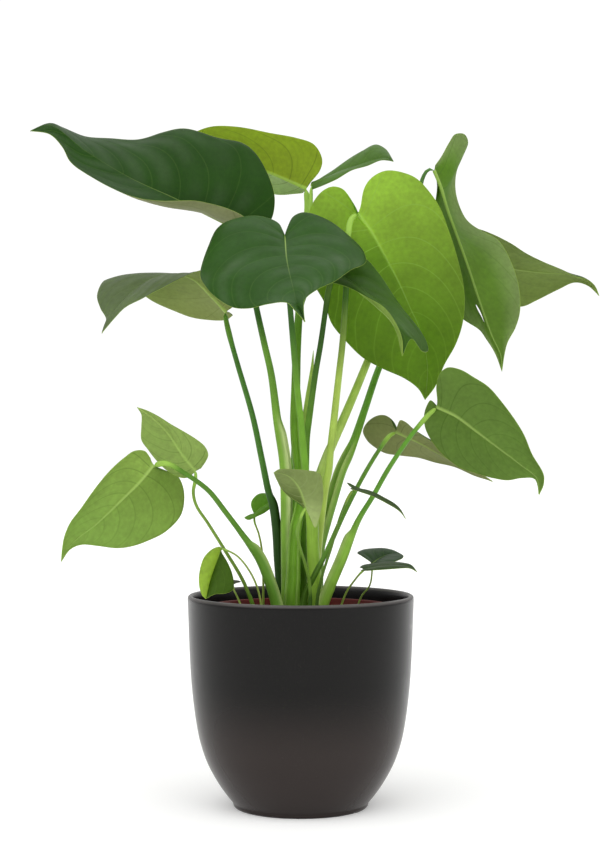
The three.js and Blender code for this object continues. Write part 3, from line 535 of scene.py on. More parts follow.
def stalk(path, radii, sheath, flap=0.45, rings=110):
    """A stalk as a closed body: its points, faces, UV, share of its length and how near the wing's edge.

    The section is carried along the path. It shrinks from the root to the sheath's shoulder; on the outer
    side it then runs smoothly into the slim stalk, and on the inner side the wings end in a rounded
    shoulder. Near the blade there is a slightly thicker knee, and the end is a dome. flap says how much
    the whole wing counts as its edge.
    """
    line = smooth_curve(path, rings)
    heading = unit(np.gradient(line, axis=0))
    outward = unit((line[-1] - line[0]) * [1, 1, 0])
    facing = np.array([0, 0, 0.6]) - outward
    inner = unit(facing - np.sum(facing * heading, 1, keepdims=True) * heading)
    across = np.cross(inner, heading)
    u = np.linspace(0, 1, rings + 1)
    root, shoulder, middle, top = radii
    low = shoulder + (root - shoulder) * np.clip(1 - u / sheath, 0, 1) ** 2.5
    high = middle + (top - middle) * (u - sheath) / (1 - sheath)
    knee_place, knee_length, dome_length = 0.94, 0.035, 0.012  # as shares of the stalk
    high = high * (1 + 0.16 * bell(u - knee_place, knee_length))
    high = high * np.sqrt(np.clip((1 - u) / dome_length, 0.02, 1))
    gentle = smoothstep(u, 0.7 * sheath, 1.25 * sheath)
    sudden = smoothstep(u, 0.9 * sheath, 1.03 * sheath)
    outer_side = low * (1 - gentle) + high * gentle
    inner_side = low * (1 - sudden) + high * sudden
    halves = [smooth_curve(half, 16) for half in (round_half, gutter_half)]
    whole = [np.vstack([half, (half * [-1, 1])[-2:0:-1]]) for half in halves]
    winged = (1 - sudden)[:, None, None]
    section = whole[0] * (1 - winged) + whole[1] * winged
    depth = np.where(section[..., 1] > 0, inner_side[:, None], outer_side[:, None])
    wide = (outer_side + inner_side)[:, None] / 2 * section[..., 0]
    flattened = 0.8
    deep = flattened * depth * section[..., 1]
    points = line[:, None] + wide[..., None] * across[:, None] + deep[..., None] * inner[:, None]
    around = points.shape[1]
    length = np.linalg.norm(np.diff(line, axis=0), axis=1).sum()
    share = np.append(np.repeat(u, around), [0, 1])
    turns = np.append(np.tile(np.arange(around) / around, rings + 1), [0.5, 0.5])
    near_tip = bell(np.linalg.norm(np.abs(whole[1]) - [0.67, 1], axis=1) + (whole[1][:, 1] < 0), 0.22)
    tip = flap * smoothstep(whole[1][:, 1], -0.1, 0.9) + (1 - flap) * near_tip
    edge = np.append((tip * winged[..., 0]).ravel(), [0, 0])
    uv = np.stack([turns, share * length / 1000], -1)
    return *closed_body(points, line[0], line[-1]), uv, share, edge


def leaf_tissue(name, upper, under, line, thin, gloss=0.42, end=None, brim=None, sheen=0.1, half=None):
    """Leaf tissue: waxy and smooth above, duller beneath, thin enough to let light through.

    upper, under and line are the colours of both faces and of the veins beneath. Beneath, the colour
    turns to end towards the tip and to brim towards the margin. half holds the colours of the right half,
    beneath and above; where it is given, the left half turns to end sooner, as painted shade. thin is the
    share of the light that goes in through a face. Above, the veins are pale hairlines, and the hollows
    between them are greyed in patches, as much as sheen says: a painted sheen. The edge is a pale line
    0.4 mm wide.
    """
    material, tree, place = new_material(name + "_leaf_tissue")
    is_upper, rib, lane, spacing, edge, far, out, side = (
        add_node(tree, "Attribute", attribute_name=mark).outputs["Fac"]
        for mark in ("upper", "rib", "lane", "spacing", "edge", "far", "out", "side")
    )
    # Colour drifts over some 40 mm and is mottled at 4 mm.
    drift = add_node(tree, "TexNoise", {"Vector": place, "Scale": 26, "Detail": 2})
    mottle = add_node(tree, "TexNoise", {"Vector": place, "Scale": 260, "Detail": 4})
    mixed = add_node(tree, "Math", {0: drift, 1: mottle}, operation="ADD")
    shade = add_node(
        tree, "MapRange",
        {"Value": mixed, "From Min": 0.7, "From Max": 1.3, "To Min": 0.87, "To Max": 1.13},
    )
    # A leaf with unlike halves gets painted shade on its left half, which is turned away: that half turns
    # to the end colour sooner.
    tip_from = add_node(
        tree, "MapRange",
        {"Value": side, "From Min": -1, "From Max": 1, "To Min": 0.42 if half else 0.8, "To Max": 0.8},
    )
    to_tip = add_node(
        tree, "MapRange",
        {"Value": far, "From Min": 0.1, "From Max": tip_from}, interpolation_type="SMOOTHSTEP",
    )
    on_right = add_node(tree, "MapRange", {"Value": side, "From Max": 1, "To Max": 1 if half else 0})
    halves = [
        add_node(tree, "Mix", {0: on_right, 6: left, 7: right}, data_type="RGBA")
        for left, right in zip((under, upper), half or (under, upper))
    ]
    beneath = add_node(tree, "Mix", {0: to_tip, 6: halves[0], 7: end or halves[0]}, data_type="RGBA")
    to_margin = add_node(
        tree, "MapRange", {"Value": out, "From Min": 0.35, "From Max": 1, "To Max": 0.8 if brim else 0},
        interpolation_type="SMOOTHSTEP",
    )
    rimmed = add_node(tree, "Mix", {0: to_margin, 6: beneath, 7: brim or under}, data_type="RGBA")
    # Painted sheen: the hollows half way between two side veins are greyed, as the white surround would
    # show in them, in patches some 60 mm long.
    between = add_node(tree, "Math", {0: lane, 1: 0.5}, operation="PINGPONG")
    patch = add_node(tree, "TexNoise", {"Vector": place, "Scale": 17, "Detail": 1})
    hollow = add_node(
        tree, "MapRange",
        {"Value": between, "From Min": 0.05, "From Max": 0.45}, interpolation_type="SMOOTHSTEP",
    )
    patchy = add_node(
        tree, "MapRange",
        {"Value": patch, "From Min": 0.42, "From Max": 0.62, "To Min": 0.15 * sheen, "To Max": sheen},
        interpolation_type="SMOOTHSTEP",
    )
    painted_sheen_share = add_node(tree, "Math", {0: hollow, 1: patchy}, operation="MULTIPLY")
    above = add_node(tree, "Mix", {0: painted_sheen_share, 6: halves[1], 7: "#7f8a78"}, data_type="RGBA")
    face = add_node(tree, "Mix", {0: is_upper, 6: rimmed, 7: above}, data_type="RGBA")
    tissue = add_node(tree, "HueSaturation", {"Color": face, "Value": shade})
    # Side veins, where lane is a whole number, and three finer ones between two of them.
    lines = []
    for finer, half_width, share in ((1, 0.8, 1), (4, 0.4, 0.2)):
        finely = add_node(tree, "Math", {0: lane, 1: finer}, operation="MULTIPLY")
        off = add_node(tree, "Math", {0: finely, 1: 0.5}, operation="PINGPONG")
        near = add_node(tree, "Math", {0: off, 1: spacing}, operation="MULTIPLY")
        lines.append(add_node(
            tree, "MapRange",
            {"Value": near, "From Max": half_width * finer, "To Min": share, "To Max": 0},
            interpolation_type="SMOOTHSTEP",
        ))
    veins = add_node(tree, "Math", {0: lines[0], 1: lines[1]}, operation="MAXIMUM")
    fading = add_node(tree, "MapRange", {"Value": far, "From Max": 0.8, "To Min": 0.75, "To Max": 0.2})
    weight = add_node(tree, "MapRange", {"Value": is_upper, "To Min": fading, "To Max": 0.06})
    vein_share = add_node(tree, "Math", {0: veins, 1: weight}, operation="MULTIPLY")
    vein_colour = add_node(tree, "Mix", {0: is_upper, 6: line, 7: "#9dbb6a"}, data_type="RGBA")
    veined = add_node(tree, "Mix", {0: vein_share, 6: tissue, 7: vein_colour}, data_type="RGBA")
    # The rib: a pale line above that fades soon, a broader pale ridge beneath.
    rib_base = add_node(tree, "MapRange", {"Value": is_upper, "To Min": 3.2, "To Max": 1.3})
    rib_width = add_node(
        tree, "MapRange", {"Value": far, "From Max": 0.9, "To Min": rib_base, "To Max": 0.5}
    )
    rib_end = add_node(tree, "MapRange", {"Value": is_upper, "To Min": 0.5, "To Max": 0.08})
    faded = add_node(
        tree, "MapRange",
        {"Value": far, "From Min": 0.1, "From Max": 0.75, "To Min": 0.85, "To Max": rib_end},
        interpolation_type="SMOOTHSTEP",
    )
    on_rib = add_node(
        tree, "MapRange",
        {"Value": rib, "From Max": rib_width, "To Min": faded, "To Max": 0},
        interpolation_type="SMOOTHSTEP",
    )
    ribbed = add_node(tree, "Mix", {0: on_rib, 6: veined, 7: "#b0c974"}, data_type="RGBA")
    on_edge = add_node(
        tree, "MapRange", {"Value": edge, "From Min": 0.1, "From Max": 0.5, "To Min": 0.7, "To Max": 0}
    )
    edged = add_node(tree, "Mix", {0: on_edge, 6: ribbed, 7: "#a3bd58"}, data_type="RGBA")
    skin = add_node(tree, "TexNoise", {"Vector": place, "Scale": 700, "Detail": 3})
    relief = add_node(tree, "Bump", {"Strength": 0.12, "Distance": 0.0003, "Height": skin})
    rough = add_node(tree, "MapRange", {"Value": is_upper, "To Min": gloss + 0.14, "To Max": gloss})
    wax = add_node(
        tree, "BsdfPrincipled",
        {
            "Base Color": edged, "Roughness": rough, "IOR": 1.42, "Specular IOR Level": 0.15,
            "Normal": relief,
        },
    )
    glow = add_node(
        tree, "HueSaturation", {"Color": edged, "Hue": 0.485, "Saturation": 1.15, "Value": 2.2}
    )
    through = add_node(tree, "BsdfTranslucent", {"Color": glow, "Normal": relief})
    surface = add_node(tree, "MixShader", {0: thin, 1: wax, 2: through})
    add_node(tree, "OutputMaterial", {"Surface": surface})
    return material


green_stalk, tree, place = new_material("green_stalk_skin")
# Smooth fibrous skin: its colours come with the mesh, and fine fibres 0.3 mm apart run along it.
tint = add_node(tree, "Attribute", attribute_name="tint").outputs["Color"]
around = add_node(tree, "UVMap", uv_map="surface")
stretched = add_node(tree, "Mapping", {"Vector": around, "Scale": (60, 40, 1)})
fibres = add_node(tree, "TexNoise", {"Vector": stretched, "Scale": 1, "Detail": 3})
patch = add_node(tree, "TexNoise", {"Vector": place, "Scale": 70, "Detail": 2})
mixed = add_node(tree, "Math", {0: fibres, 1: patch}, operation="ADD")
shade = add_node(
    tree, "MapRange", {"Value": mixed, "From Min": 0.7, "From Max": 1.3, "To Min": 0.84, "To Max": 1.16}
)
skin = add_node(tree, "HueSaturation", {"Color": tint, "Value": shade})
relief = add_node(tree, "Bump", {"Strength": 0.15, "Distance": 0.0003, "Height": fibres})
surface = add_node(
    tree, "BsdfPrincipled",
    {"Base Color": skin, "Roughness": 0.42, "IOR": 1.42, "Specular IOR Level": 0.25, "Normal": relief},
)
add_node(tree, "OutputMaterial", {"Surface": surface})


def leaf(
    name, rib, right, left, path, arch, radii, sheath, low, high, tissue, slot, veins, columns, wave,
    seed, hole=None, wing_edge="#c6d98a", flap=0.45, top=None, knee="#9cc552",
):
    """Makes the blade and the stalk of one leaf.

    rib, right and left run from the stalk to the tip and path up the stalk, all as the front view shows
    them. low, high, top and knee are the colours of the sheath, of the stalk, of its upper part and of
    its end, and wing_edge is that of the wings' edges. top is painted shade: the upper stalk darkened
    where the blades above shade it. tissue holds what leaf_tissue takes after the name.
    """
    shell, faces, uv, marks = blade(rib, right, left, arch, veins, columns, wave, seed, hole)
    skin = leaf_tissue(name, **tissue)
    make_piece("leaf_blade_" + name, shell, faces, skin, slot, "blade_" + name, uv, **marks)
    start, up = seat(rib, right, left)
    # The stalk ends beneath the rib's first point, as deep as half its own radius there.
    path = np.vstack([seen(path), start - 0.55 * radii[3] * up])
    rod, faces, uv, share, edge = stalk(path, radii, sheath, flap)
    # The sheath is paler than the stalk, and its end and the wings' edges are paler still. Where top is
    # given, the stalk darkens upwards to it: painted shade under the blades.
    # Painted shade: the stalk turns to top by 0.78 of its length and keeps it to 0.88.
    stops = [0, 0.9 * sheath, 1.2 * sheath, max(0.58, 1.3 * sheath), 0.78, 0.88, 0.94, 1]
    codes = (low, low, high, high, top or high, top or high, knee, knee)
    colours = np.array([linear(code)[:3] for code in codes])
    tint = np.stack([np.interp(share, stops, colours[:, n]) for n in range(3)], 1)
    pale = np.array(linear(wing_edge)[:3])
    tint = tint + 0.8 * edge[:, None] * (pale - tint)
    make_piece(
        "leaf_stalk_" + name, rod, faces, green_stalk, "stalk_green", "petiole_" + name, uv, tint=tint
    )


leaf(
    "upper_left",
    rib=[
        [-52, -2, 508], [-80, -6, 522], [-113, -9, 538], [-150, -11, 555], [-190, -13, 579],
        [-222, -15, 602], [-239.5, -16, 597],
    ],
    right=[
        [-44, 2, 510], [-28, 8, 516], [-23, 14, 535], [-28, 20, 556], [-38, 27, 575], [-52, 32, 587],
        [-75, 38, 592], [-102, 42, 599], [-122, 42, 596], [-145, 38, 590], [-168, 30, 591],
        [-190, 18, 592], [-210, 2, 600], [-222, -10, 604],
    ],
    left=[
        [-46, -9, 508], [-43, -19, 515], [-53, -29, 523], [-66, -39, 529], [-80, -49, 533],
        [-95, -57, 536], [-125, -63, 535], [-150, -58, 539], [-170, -50, 548], [-190, -40, 559],
        [-204, -32, 570], [-211, -26, 583], [-222, -20, 594],
    ],
    path=[
        [-12.5, -8, 158], [-12.4, -8, 200], [-12.8, -6.8, 248], [-13, -7, 280], [-13.6, -6, 298],
        [-15, -5, 311], [-17.6, -4, 326], [-20.4, -3, 342], [-26, -1, 382], [-32, 0, 408.5],
        [-39, 2, 440], [-48, 1, 485], [-52, 0, 500],
    ],
    arch=[4, -4], radii=[6.2, 6.2, 4.3, 2.9], sheath=0.53, low="#7fab3c", high="#6a9a36",
    # top is painted shade on the upper stalk, under the blades.
    wing_edge="#d6e4a0", flap=0.95, top="#34601f",
    tissue=dict(upper="#24490f", under="#8f9468", line="#6c7a45", thin=0.22, sheen=0.09),
    slot="leaf_green", veins=8, columns=34, wave=0.8, seed=10,
)


# The leaf that leans furthest to the front
# Mature and leathery, its dark upper side to the front and its drip tip hanging down. Its side veins
# lie in soft hollows that catch a grey sheen, and more grey sheen is painted into them. Its stalk leans
# forward from the middle of the soil.

leaf(
    "front",
    rib=[[-14, -60, 505], [-12, -102, 482], [-7, -133, 460], [-2, -156, 441], [4, -169, 428]],
    right=[
        [-17, -54, 508], [-19, -48, 515], [-28, -44, 520], [-45, -42, 522], [-62, -46, 519],
        [-74, -54, 511], [-82, -66, 495], [-89, -84, 472], [-84, -107, 459], [-74, -120, 449],
        [-60, -132, 441], [-45, -142, 440], [-28, -153, 444], [-12, -163, 445], [-5, -168, 438],
    ],
    left=[
        [-11, -54, 511], [-7, -48, 521], [3, -44, 525], [22, -44, 519], [40, -52, 506], [53, -64, 494],
        [58, -78, 482], [44, -108, 474], [30, -127, 464], [15, -142, 457], [4, -155, 448], [3, -163, 440],
    ],
    path=[
        [13, -19, 158], [12.5, -20, 200], [10.5, -20.5, 227], [10, -21, 250], [7.2, -22, 275],
        [4.2, -23, 298], [1.5, -25, 326], [-0.1, -27, 342], [-3.6, -33, 374], [-6.6, -40, 408.5],
        [-9.6, -48, 443.5], [-14, -58, 490],
    ],
    arch=[6, 6], radii=[6.2, 5.4, 3.4, 2.3], sheath=0.34, low="#9ac446", high="#72a532",
    # top is painted shade on the upper stalk, under the blades.
    wing_edge="#9cc24e", top="#38651f",
    tissue=dict(upper="#2e5519", under="#84944f", line="#5d7a3a", thin=0.22, gloss=0.4, sheen=0.12),
    slot="leaf_green", veins=8, columns=34, wave=0.8, seed=23,
)


# A leaf behind the largest one
# A blade still thin enough for the light to come through: yellow-green from below, with dark side
# veins. Its stout stalk leans back from the middle of the soil and passes behind the others.

leaf(
    "back_left",
    rib=[[5, 60, 546], [-33, 66, 562], [-70, 76, 572], [-105, 84, 576], [-128, 88, 573]],
    right=[
        [1, 64, 542], [-8, 72, 541], [-23, 84, 541], [-45, 98, 546], [-70, 106, 553], [-95, 106, 561],
        [-115, 98, 568],
    ],
    left=[
        [8, 58, 551], [17, 56, 562], [19, 54, 572], [12, 52, 585], [-4, 50, 591], [-30, 51, 596],
        [-58, 53, 601], [-80, 56, 601], [-95, 60, 596], [-112, 70, 588],
    ],
    path=[
        [-8.4, -22, 158], [-7.6, -22, 185], [-6.6, -21, 200], [-6.1, -20, 218], [-4.6, -18, 244],
        [-0.2, -10, 266], [-1.2, -3, 290], [-2.8, 2, 306], [-4.6, 6, 326], [-5.1, 9, 342],
        [-4.3, 17, 374], [-3.7, 23, 398], [-1.9, 33, 431], [2, 46, 480], [6, 56, 530],
    ],
    arch=[4, 4], radii=[8.0, 4.4, 4.2, 2.6], sheath=0.5, low="#7db034", high="#5c8a26",
    wing_edge="#86ab4e",
    tissue=dict(upper="#48701f", under="#a6b43c", line="#6c7c28", thin=0.45, half=("#b4c295", "#48701f")),
    slot="leaf_bright", veins=7, columns=26, wave=0.6, seed=36,
)


# A narrow leaf at the back
# A slim blade that points right and shows the edge of its dark upper side over a paler underside.
# Its thin stalk runs up beside that of the leaf behind the largest one.

leaf(
    "back_right",
    rib=[[9, 40, 549], [35, 56, 560], [60, 76, 570], [75, 90, 573], [82, 98, 570]],
    right=[[10, 34, 545], [20, 26, 549], [31, 30, 554], [45, 46, 562.5], [60, 64, 567], [72, 82, 571]],
    left=[
        [10, 44, 552], [20, 56, 555.5], [32, 68, 562.5], [45, 84, 572.5], [58, 98, 581], [67, 106, 585],
        [75, 106, 581],
    ],
    path=[
        [-9.5, 9, 158], [-11, 14, 200], [-9.8, 21, 235], [-7.8, 24, 270], [-6.2, 23, 326], [-5, 24, 342],
        [-4.2, 28, 374], [-3.6, 32, 398], [-1.4, 42.5, 431], [2, 45, 446], [6.8, 43.5, 459],
        [8.5, 42, 480], [9.5, 41, 500], [9, 37, 530],
    ],
    arch=[3, 3], radii=[4.3, 3.4, 2.0, 1.7], sheath=0.35, low="#7db034", high="#5c8a26",
    wing_edge="#8ab050",
    tissue=dict(upper="#52762e", under="#7a904a", line="#5c743a", thin=0.25),
    slot="leaf_green", veins=6, columns=24, wave=0.5, seed=49,
)


# The young bright leaf
# It hangs on the right with its underside to the front, still soft and thin, so that the light behind
# makes its upper part glow. Its stalk bends over into it in a pale knee.

leaf(
    "bright",
    rib=[
        [50, -8, 524], [61, -2, 510], [75, 5, 485], [88, 10, 460], [97, 13, 440], [106, 14, 420],
        [112, 10, 390], [110, -2, 359],
    ],
    right=[
        [53, -6, 530], [56, -4, 546], [63, 0, 556], [76, 2, 562], [92, 2, 560], [104, 2, 554],
        [121, 0, 533], [130, 2, 511], [137, 6, 490], [143, 8, 468], [145, 6, 448], [143, 4, 426],
        [137, 4, 408], [127, 6, 390], [119, 2, 371],
    ],
    left=[
        [47, -12, 528], [43, -13, 539], [37, -12, 546], [28, -10, 548], [18, -6, 543], [9, -5, 530],
        [4, -7, 508], [4, -10, 482], [12, -10, 461], [21, -8, 445], [27, -2, 427], [38, 2, 413],
        [54, 6, 397], [72, 6, 387], [92, 3, 378], [104, -2, 369],
    ],
    path=[
        [12, -6, 158], [12.4, -6, 200], [14.5, -6, 227], [17.5, -6, 255], [20.8, -7, 279],
        [24.6, -9, 298], [25.7, -10, 310.5], [29.3, -13, 342], [33.7, -18, 381.6], [36.8, -22, 409],
        [40, -27, 457], [41.5, -26, 500], [44, -18, 518],
    ],
    # top is painted shade on the upper stalk, under the blades.
    arch=[-4, -6], radii=[6.2, 5.2, 4.5, 2.9], sheath=0.33, low="#b4d05c", high="#a9c658", top="#3f641f",
    # Its left half turns to end sooner: painted shade on that half towards the tip.
    tissue=dict(
        upper="#5b8420", under="#a4be50", line="#a3bd5c", thin=0.5, gloss=0.4, end="#6c8a2c",
        half=("#a6c052", "#5b8420"),
    ),
    slot="leaf_bright", veins=8, columns=36, wave=0.9, seed=62,
)


# A dark leaf under the front leaf
# A leathery blade that comes out from below the front leaf, and whose end is torn into two tips. Its
# stalk stands in the very middle of the soil.

leaf(
    "dark_low",
    rib=[[28, -34, 474], [48, -62, 458], [66, -86, 443], [82, -104, 426], [90, -116, 398]],
    right=[
        [24, -40, 470], [22, -52, 464], [32, -68, 462], [46, -84, 457], [60, -96, 449], [74, -106, 440],
        [85, -112, 426], [90, -115, 412],
    ],
    left=[
        [31, -36, 480], [40, -39, 487], [56, -42, 485], [70, -50, 470], [84, -60, 449], [98, -74, 430],
        [110, -84, 414], [113, -90, 403], [107, -100, 402], [98, -108, 413],
    ],
    path=[
        [2, 3, 158], [2, 4, 220], [3, 6, 260], [4.4, 7, 300], [5.4, 3, 326], [7.4, -2, 342],
        [12.9, -14, 381.6], [17.6, -23, 408.5], [24, -30, 452], [27, -33, 466],
    ],
    arch=[4, 6], radii=[4.3, 3.6, 3.3, 2.3], sheath=0.42, low="#6a9a2a", high="#5f8c2c",
    # top is painted shade on the upper stalk, under the blades.
    wing_edge="#7fa53e", top="#355c1b", knee="#4a6b22",
    tissue=dict(upper="#3a5e18", under="#8fab52", line="#5a7a38", thin=0.22, gloss=0.4, sheen=0.05),
    slot="leaf_green", veins=6, columns=28, wave=0.6, seed=75,
)


# A folded leaf, hanging on the right
# Folded along its rib and seen from below, with one long hole beside the rib, where the blade first
# splits in a leaf of this age. Its long stalk leans right and bends over at the top.

leaf(
    "right",
    rib=[
        [118, 30, 562], [124, 26, 547], [130, 24, 527], [138, 22, 505], [147, 22, 480], [159, 20, 444],
        [169, 16, 416], [177, 8, 398], [178, 2, 384],
    ],
    right=[
        [119, 34, 567], [124, 44, 574], [131, 54, 587], [136, 62, 594], [145, 72, 594], [148, 80, 586],
        [142, 87, 573], [137, 90, 558], [138, 89, 539], [146, 84, 520], [160, 74, 509], [175, 62, 500],
        [187, 47, 479], [193, 36, 459], [194, 28, 438], [190, 21, 423], [183, 13, 410], [180, 7, 398],
    ],
    left=[
        [121.5, 33, 551], [121, 38, 545], [119, 46, 535], [116.5, 54, 518], [114, 58, 498],
        [117, 58, 478], [124, 54, 457], [134, 44, 441], [143, 36, 431], [158, 26, 421], [164, 18, 413],
        [172, 10, 400],
    ],
    path=[
        [3, 15, 158], [3.4, 15.5, 200], [5.6, 14.5, 240], [8.8, 14, 262], [13, 10, 280], [18.9, 9, 298],
        [26.9, 9, 318], [37.4, 11, 342], [47.7, 14, 366], [58, 18, 391], [84, 28, 455], [103, 32, 530],
        [108, 31, 556], [113, 30, 563],
    ],
    arch=[6, 6], radii=[5.4, 4.9, 5.4, 1.9], sheath=0.4, low="#b6d268", high="#9cbc50", knee="#54803a",
    tissue=dict(
        upper="#42641c", under="#648e26", line="#54782a", thin=0.38, end="#658630", brim="#8fa268",
    ),
    slot="leaf_green", veins=8, columns=36, wave=0.8, seed=88, hole=(-1, 0.765, 0.36, 0.045, 0.07),
)


# The leaf that reaches furthest right
# Behind the folded one, its dull underside to the front and its drip tip curling down. Its stalk
# leans furthest back and to the right, out over the pot's rim.

leaf(
    "far_right",
    rib=[
        [138, 128, 487], [165, 130, 480], [190, 130, 475], [215, 128, 472], [240, 124, 470],
        [256, 120, 463], [264, 118, 451],
    ],
    right=[
        [134, 120, 492], [132, 108, 502], [140, 97, 511], [155, 91, 511], [170, 89, 506], [185, 89, 498],
        [199, 91, 489], [215, 95, 481], [231, 101, 474], [243, 108, 468], [252, 113, 466],
        [260, 116, 460],
    ],
    left=[
        [134, 138, 480], [132, 154, 468], [144, 170, 455], [160, 174, 447], [178, 172, 443],
        [196, 168, 442], [208, 162, 447], [228, 150, 457], [242, 136, 463], [254, 124, 460],
    ],
    path=[
        [14, 9, 158], [14.8, 10, 200], [16, 11, 227], [18, 12, 236], [22.6, 13, 253], [27.8, 15, 271],
        [32.9, 18, 288.5], [36.2, 20, 298], [42, 26, 310.5], [48.1, 32, 326], [57, 42, 352],
        [71, 60, 392], [94, 88, 436], [118, 114, 472], [131, 125, 485],
    ],
    arch=[4, 4], radii=[6.0, 5.6, 3.9, 2.5], sheath=0.43, low="#74a234", high="#5f962c",
    tissue=dict(upper="#4a6428", under="#7c9048", line="#68783e", thin=0.28, gloss=0.45),
    slot="leaf_green", veins=7, columns=30, wave=0.6, seed=100,
)


# An arched leaf at the left
# Half way up, arched over its rib: the far wing shows its upper side, the near one its underside.
# Its stalk stands behind those of the front, and is painted dark green down to its foot as the shade
# of the stalks in front of it.

leaf(
    "left",
    rib=[
        [-66, 14, 437], [-80, 8, 452], [-95, -2, 466], [-112, -14, 471], [-130, -28, 467],
        [-148, -42, 456], [-163, -54, 441], [-172, -62, 429], [-176, -66, 418],
    ],
    right=[
        [-60, 22, 434], [-66, 34, 430], [-80, 46, 430], [-96, 52, 432], [-112, 50, 438],
        [-130, 40, 445.5], [-147, 24, 457], [-160, 8, 464.5], [-173, -8, 465], [-180, -26, 452],
        [-177, -42, 440], [-172, -54, 430],
    ],
    left=[
        [-61, 8, 441], [-54, 0, 448], [-55, -12, 460], [-67, -24, 470], [-86, -34, 474], [-103, -42, 468],
        [-125, -54, 457], [-140, -62, 449], [-155, -68, 441], [-164, -70, 432], [-171, -69, 424],
    ],
    path=[
        [-18.5, 4, 158], [-18.6, 4, 200], [-19.9, 4, 218], [-21.5, 4, 244], [-24.5, 4, 266],
        [-28.7, 4, 280], [-34.2, 4, 306], [-42.5, 5, 345], [-55.6, 7, 390], [-62.6, 11, 415],
        [-66, 13, 430],
    ],
    # low and wing_edge are painted shade: the sheath dark where the stalks in front shade it.
    arch=[4, 3], radii=[5.4, 4.9, 3.8, 2.7], sheath=0.42, low="#2a4e17", high="#4a7c2e",
    wing_edge="#24400f", knee="#5f8f30",
    tissue=dict(upper="#63744c", under="#8f9c5a", line="#70803f", thin=0.25, end="#5f7a2c", sheen=0.4),
    slot="leaf_green", veins=7, columns=30, wave=0.6, seed=113,
)


# A broad low leaf at the left
# Its dull underside faces the front and shows its thin dark side veins and pale rib well. Its stalk
# leans out over the pot's rim from the front of the soil.

leaf(
    "low_left",
    rib=[
        [-130, -70, 302], [-142, -70, 287], [-155, -71, 274], [-180, -74, 250], [-201, -80, 233],
        [-212, -84, 216],
    ],
    right=[
        [-127, -60, 298], [-118, -44, 296], [-109, -36, 292], [-104, -31, 282], [-103, -30, 270],
        [-106, -32, 257], [-119, -42, 243], [-134, -51, 235], [-148, -60, 230], [-162, -68, 228],
        [-180, -77, 230], [-194, -81, 231], [-204, -83, 227],
    ],
    left=[
        [-133, -73, 308], [-138, -76, 314], [-147, -78, 314], [-156, -79, 308], [-166, -80, 299],
        [-180, -82, 283], [-194, -84, 264], [-204, -86, 251], [-209, -86, 239], [-211, -86, 228],
    ],
    path=[
        [-18, -35, 158], [-21.6, -34, 179], [-28, -36, 200], [-35.3, -39, 218], [-43.4, -43, 230],
        [-52.4, -47, 241.5], [-66.4, -54.5, 260], [-82, -63, 279.5], [-102, -71, 294], [-119, -73, 303],
    ],
    arch=[4, 4], radii=[6.4, 5.6, 3.2, 2.5], sheath=0.42, low="#649430", high="#568428", flap=0.6,
    tissue=dict(upper="#48702a", under="#97b356", line="#66863a", thin=0.3, gloss=0.45, end="#8cab52"),
    slot="leaf_green", veins=8, columns=30, wave=0.6, seed=126,
)


# A smaller leaf above it
# Also seen from below, thin and pale, on a wiry stalk from the left of the soil that bends back on
# itself.

leaf(
    "low_left_back",
    rib=[[-93, -58, 296], [-103, -58, 308], [-117, -55, 329], [-131, -52, 343], [-145, -50, 353]],
    right=[
        [-97, -59, 292], [-103, -62, 290], [-111, -63, 292], [-119, -61, 297], [-128, -55, 306],
        [-135, -50, 315], [-141, -46, 324], [-141, -47, 336], [-141, -48, 346],
    ],
    left=[
        [-88, -60, 299], [-84, -60, 305], [-82, -59, 311], [-85, -58, 318], [-92, -56, 324],
        [-103, -53, 331], [-115, -51, 338], [-126, -50, 345], [-136, -50, 350],
    ],
    path=[
        [-36, -24, 158], [-50, -27, 197], [-67, -33, 226], [-82, -41, 250], [-92.4, -49, 266],
        [-95, -54, 278], [-93, -57, 289],
    ],
    arch=[3, 3], radii=[2.2, 1.9, 1.95, 1.5], sheath=0.2, low="#6a9430", high="#7a9c3c",
    wing_edge="#8aa848",
    tissue=dict(upper="#48702a", under="#9cb462", line="#6c8a40", thin=0.3, gloss=0.45),
    slot="leaf_green", veins=6, columns=22, wave=0.4, seed=139,
)


# A small curled leaf at the left
# One of the first leaves, small and entire. It hangs over the pot's rim on a stalk as thin as string,
# one half painted bright on both faces, as the light that shines through it.

leaf(
    "rim_left",
    rib=[[-70, -50, 228], [-74, -60, 217], [-80, -68, 200], [-84, -74, 183]],
    right=[
        [-73, -50, 229], [-78, -56, 227], [-83, -62, 223], [-87, -69, 217], [-90, -76, 204],
        [-89.5, -78, 193], [-87, -77, 186],
    ],
    left=[
        [-71.5, -56, 222], [-73, -60, 217], [-68.5, -62, 215], [-63.5, -65, 210], [-60.5, -68, 204],
        [-59.3, -71, 197], [-60, -73, 191], [-66, -75, 188], [-76, -76, 187],
    ],
    path=[[-32, -46, 158], [-38, -47, 192], [-46, -48, 209], [-56, -49, 221], [-65, -50, 226]],
    arch=[3, 3], radii=[1.5, 1.17, 1.2, 1.0], sheath=0.2, low="#8fa84e", high="#94ac50",
    tissue=dict(
        # The half colours paint one half pale on both faces: painted light shining through it.
        upper="#4a6a1c", under="#4a5c1e", line="#3f5018", thin=0.4, half=("#a0b45a", "#94ae4a"),
        sheen=0.02,
    ),
    slot="leaf_bright", veins=5, columns=18, wave=0.4, seed=151,
)


# A very small leaf behind it
# The smallest one, dark and nearly level, on a short thin stalk just above the rim. It is seen edge
# on, in the shade of its neighbours.

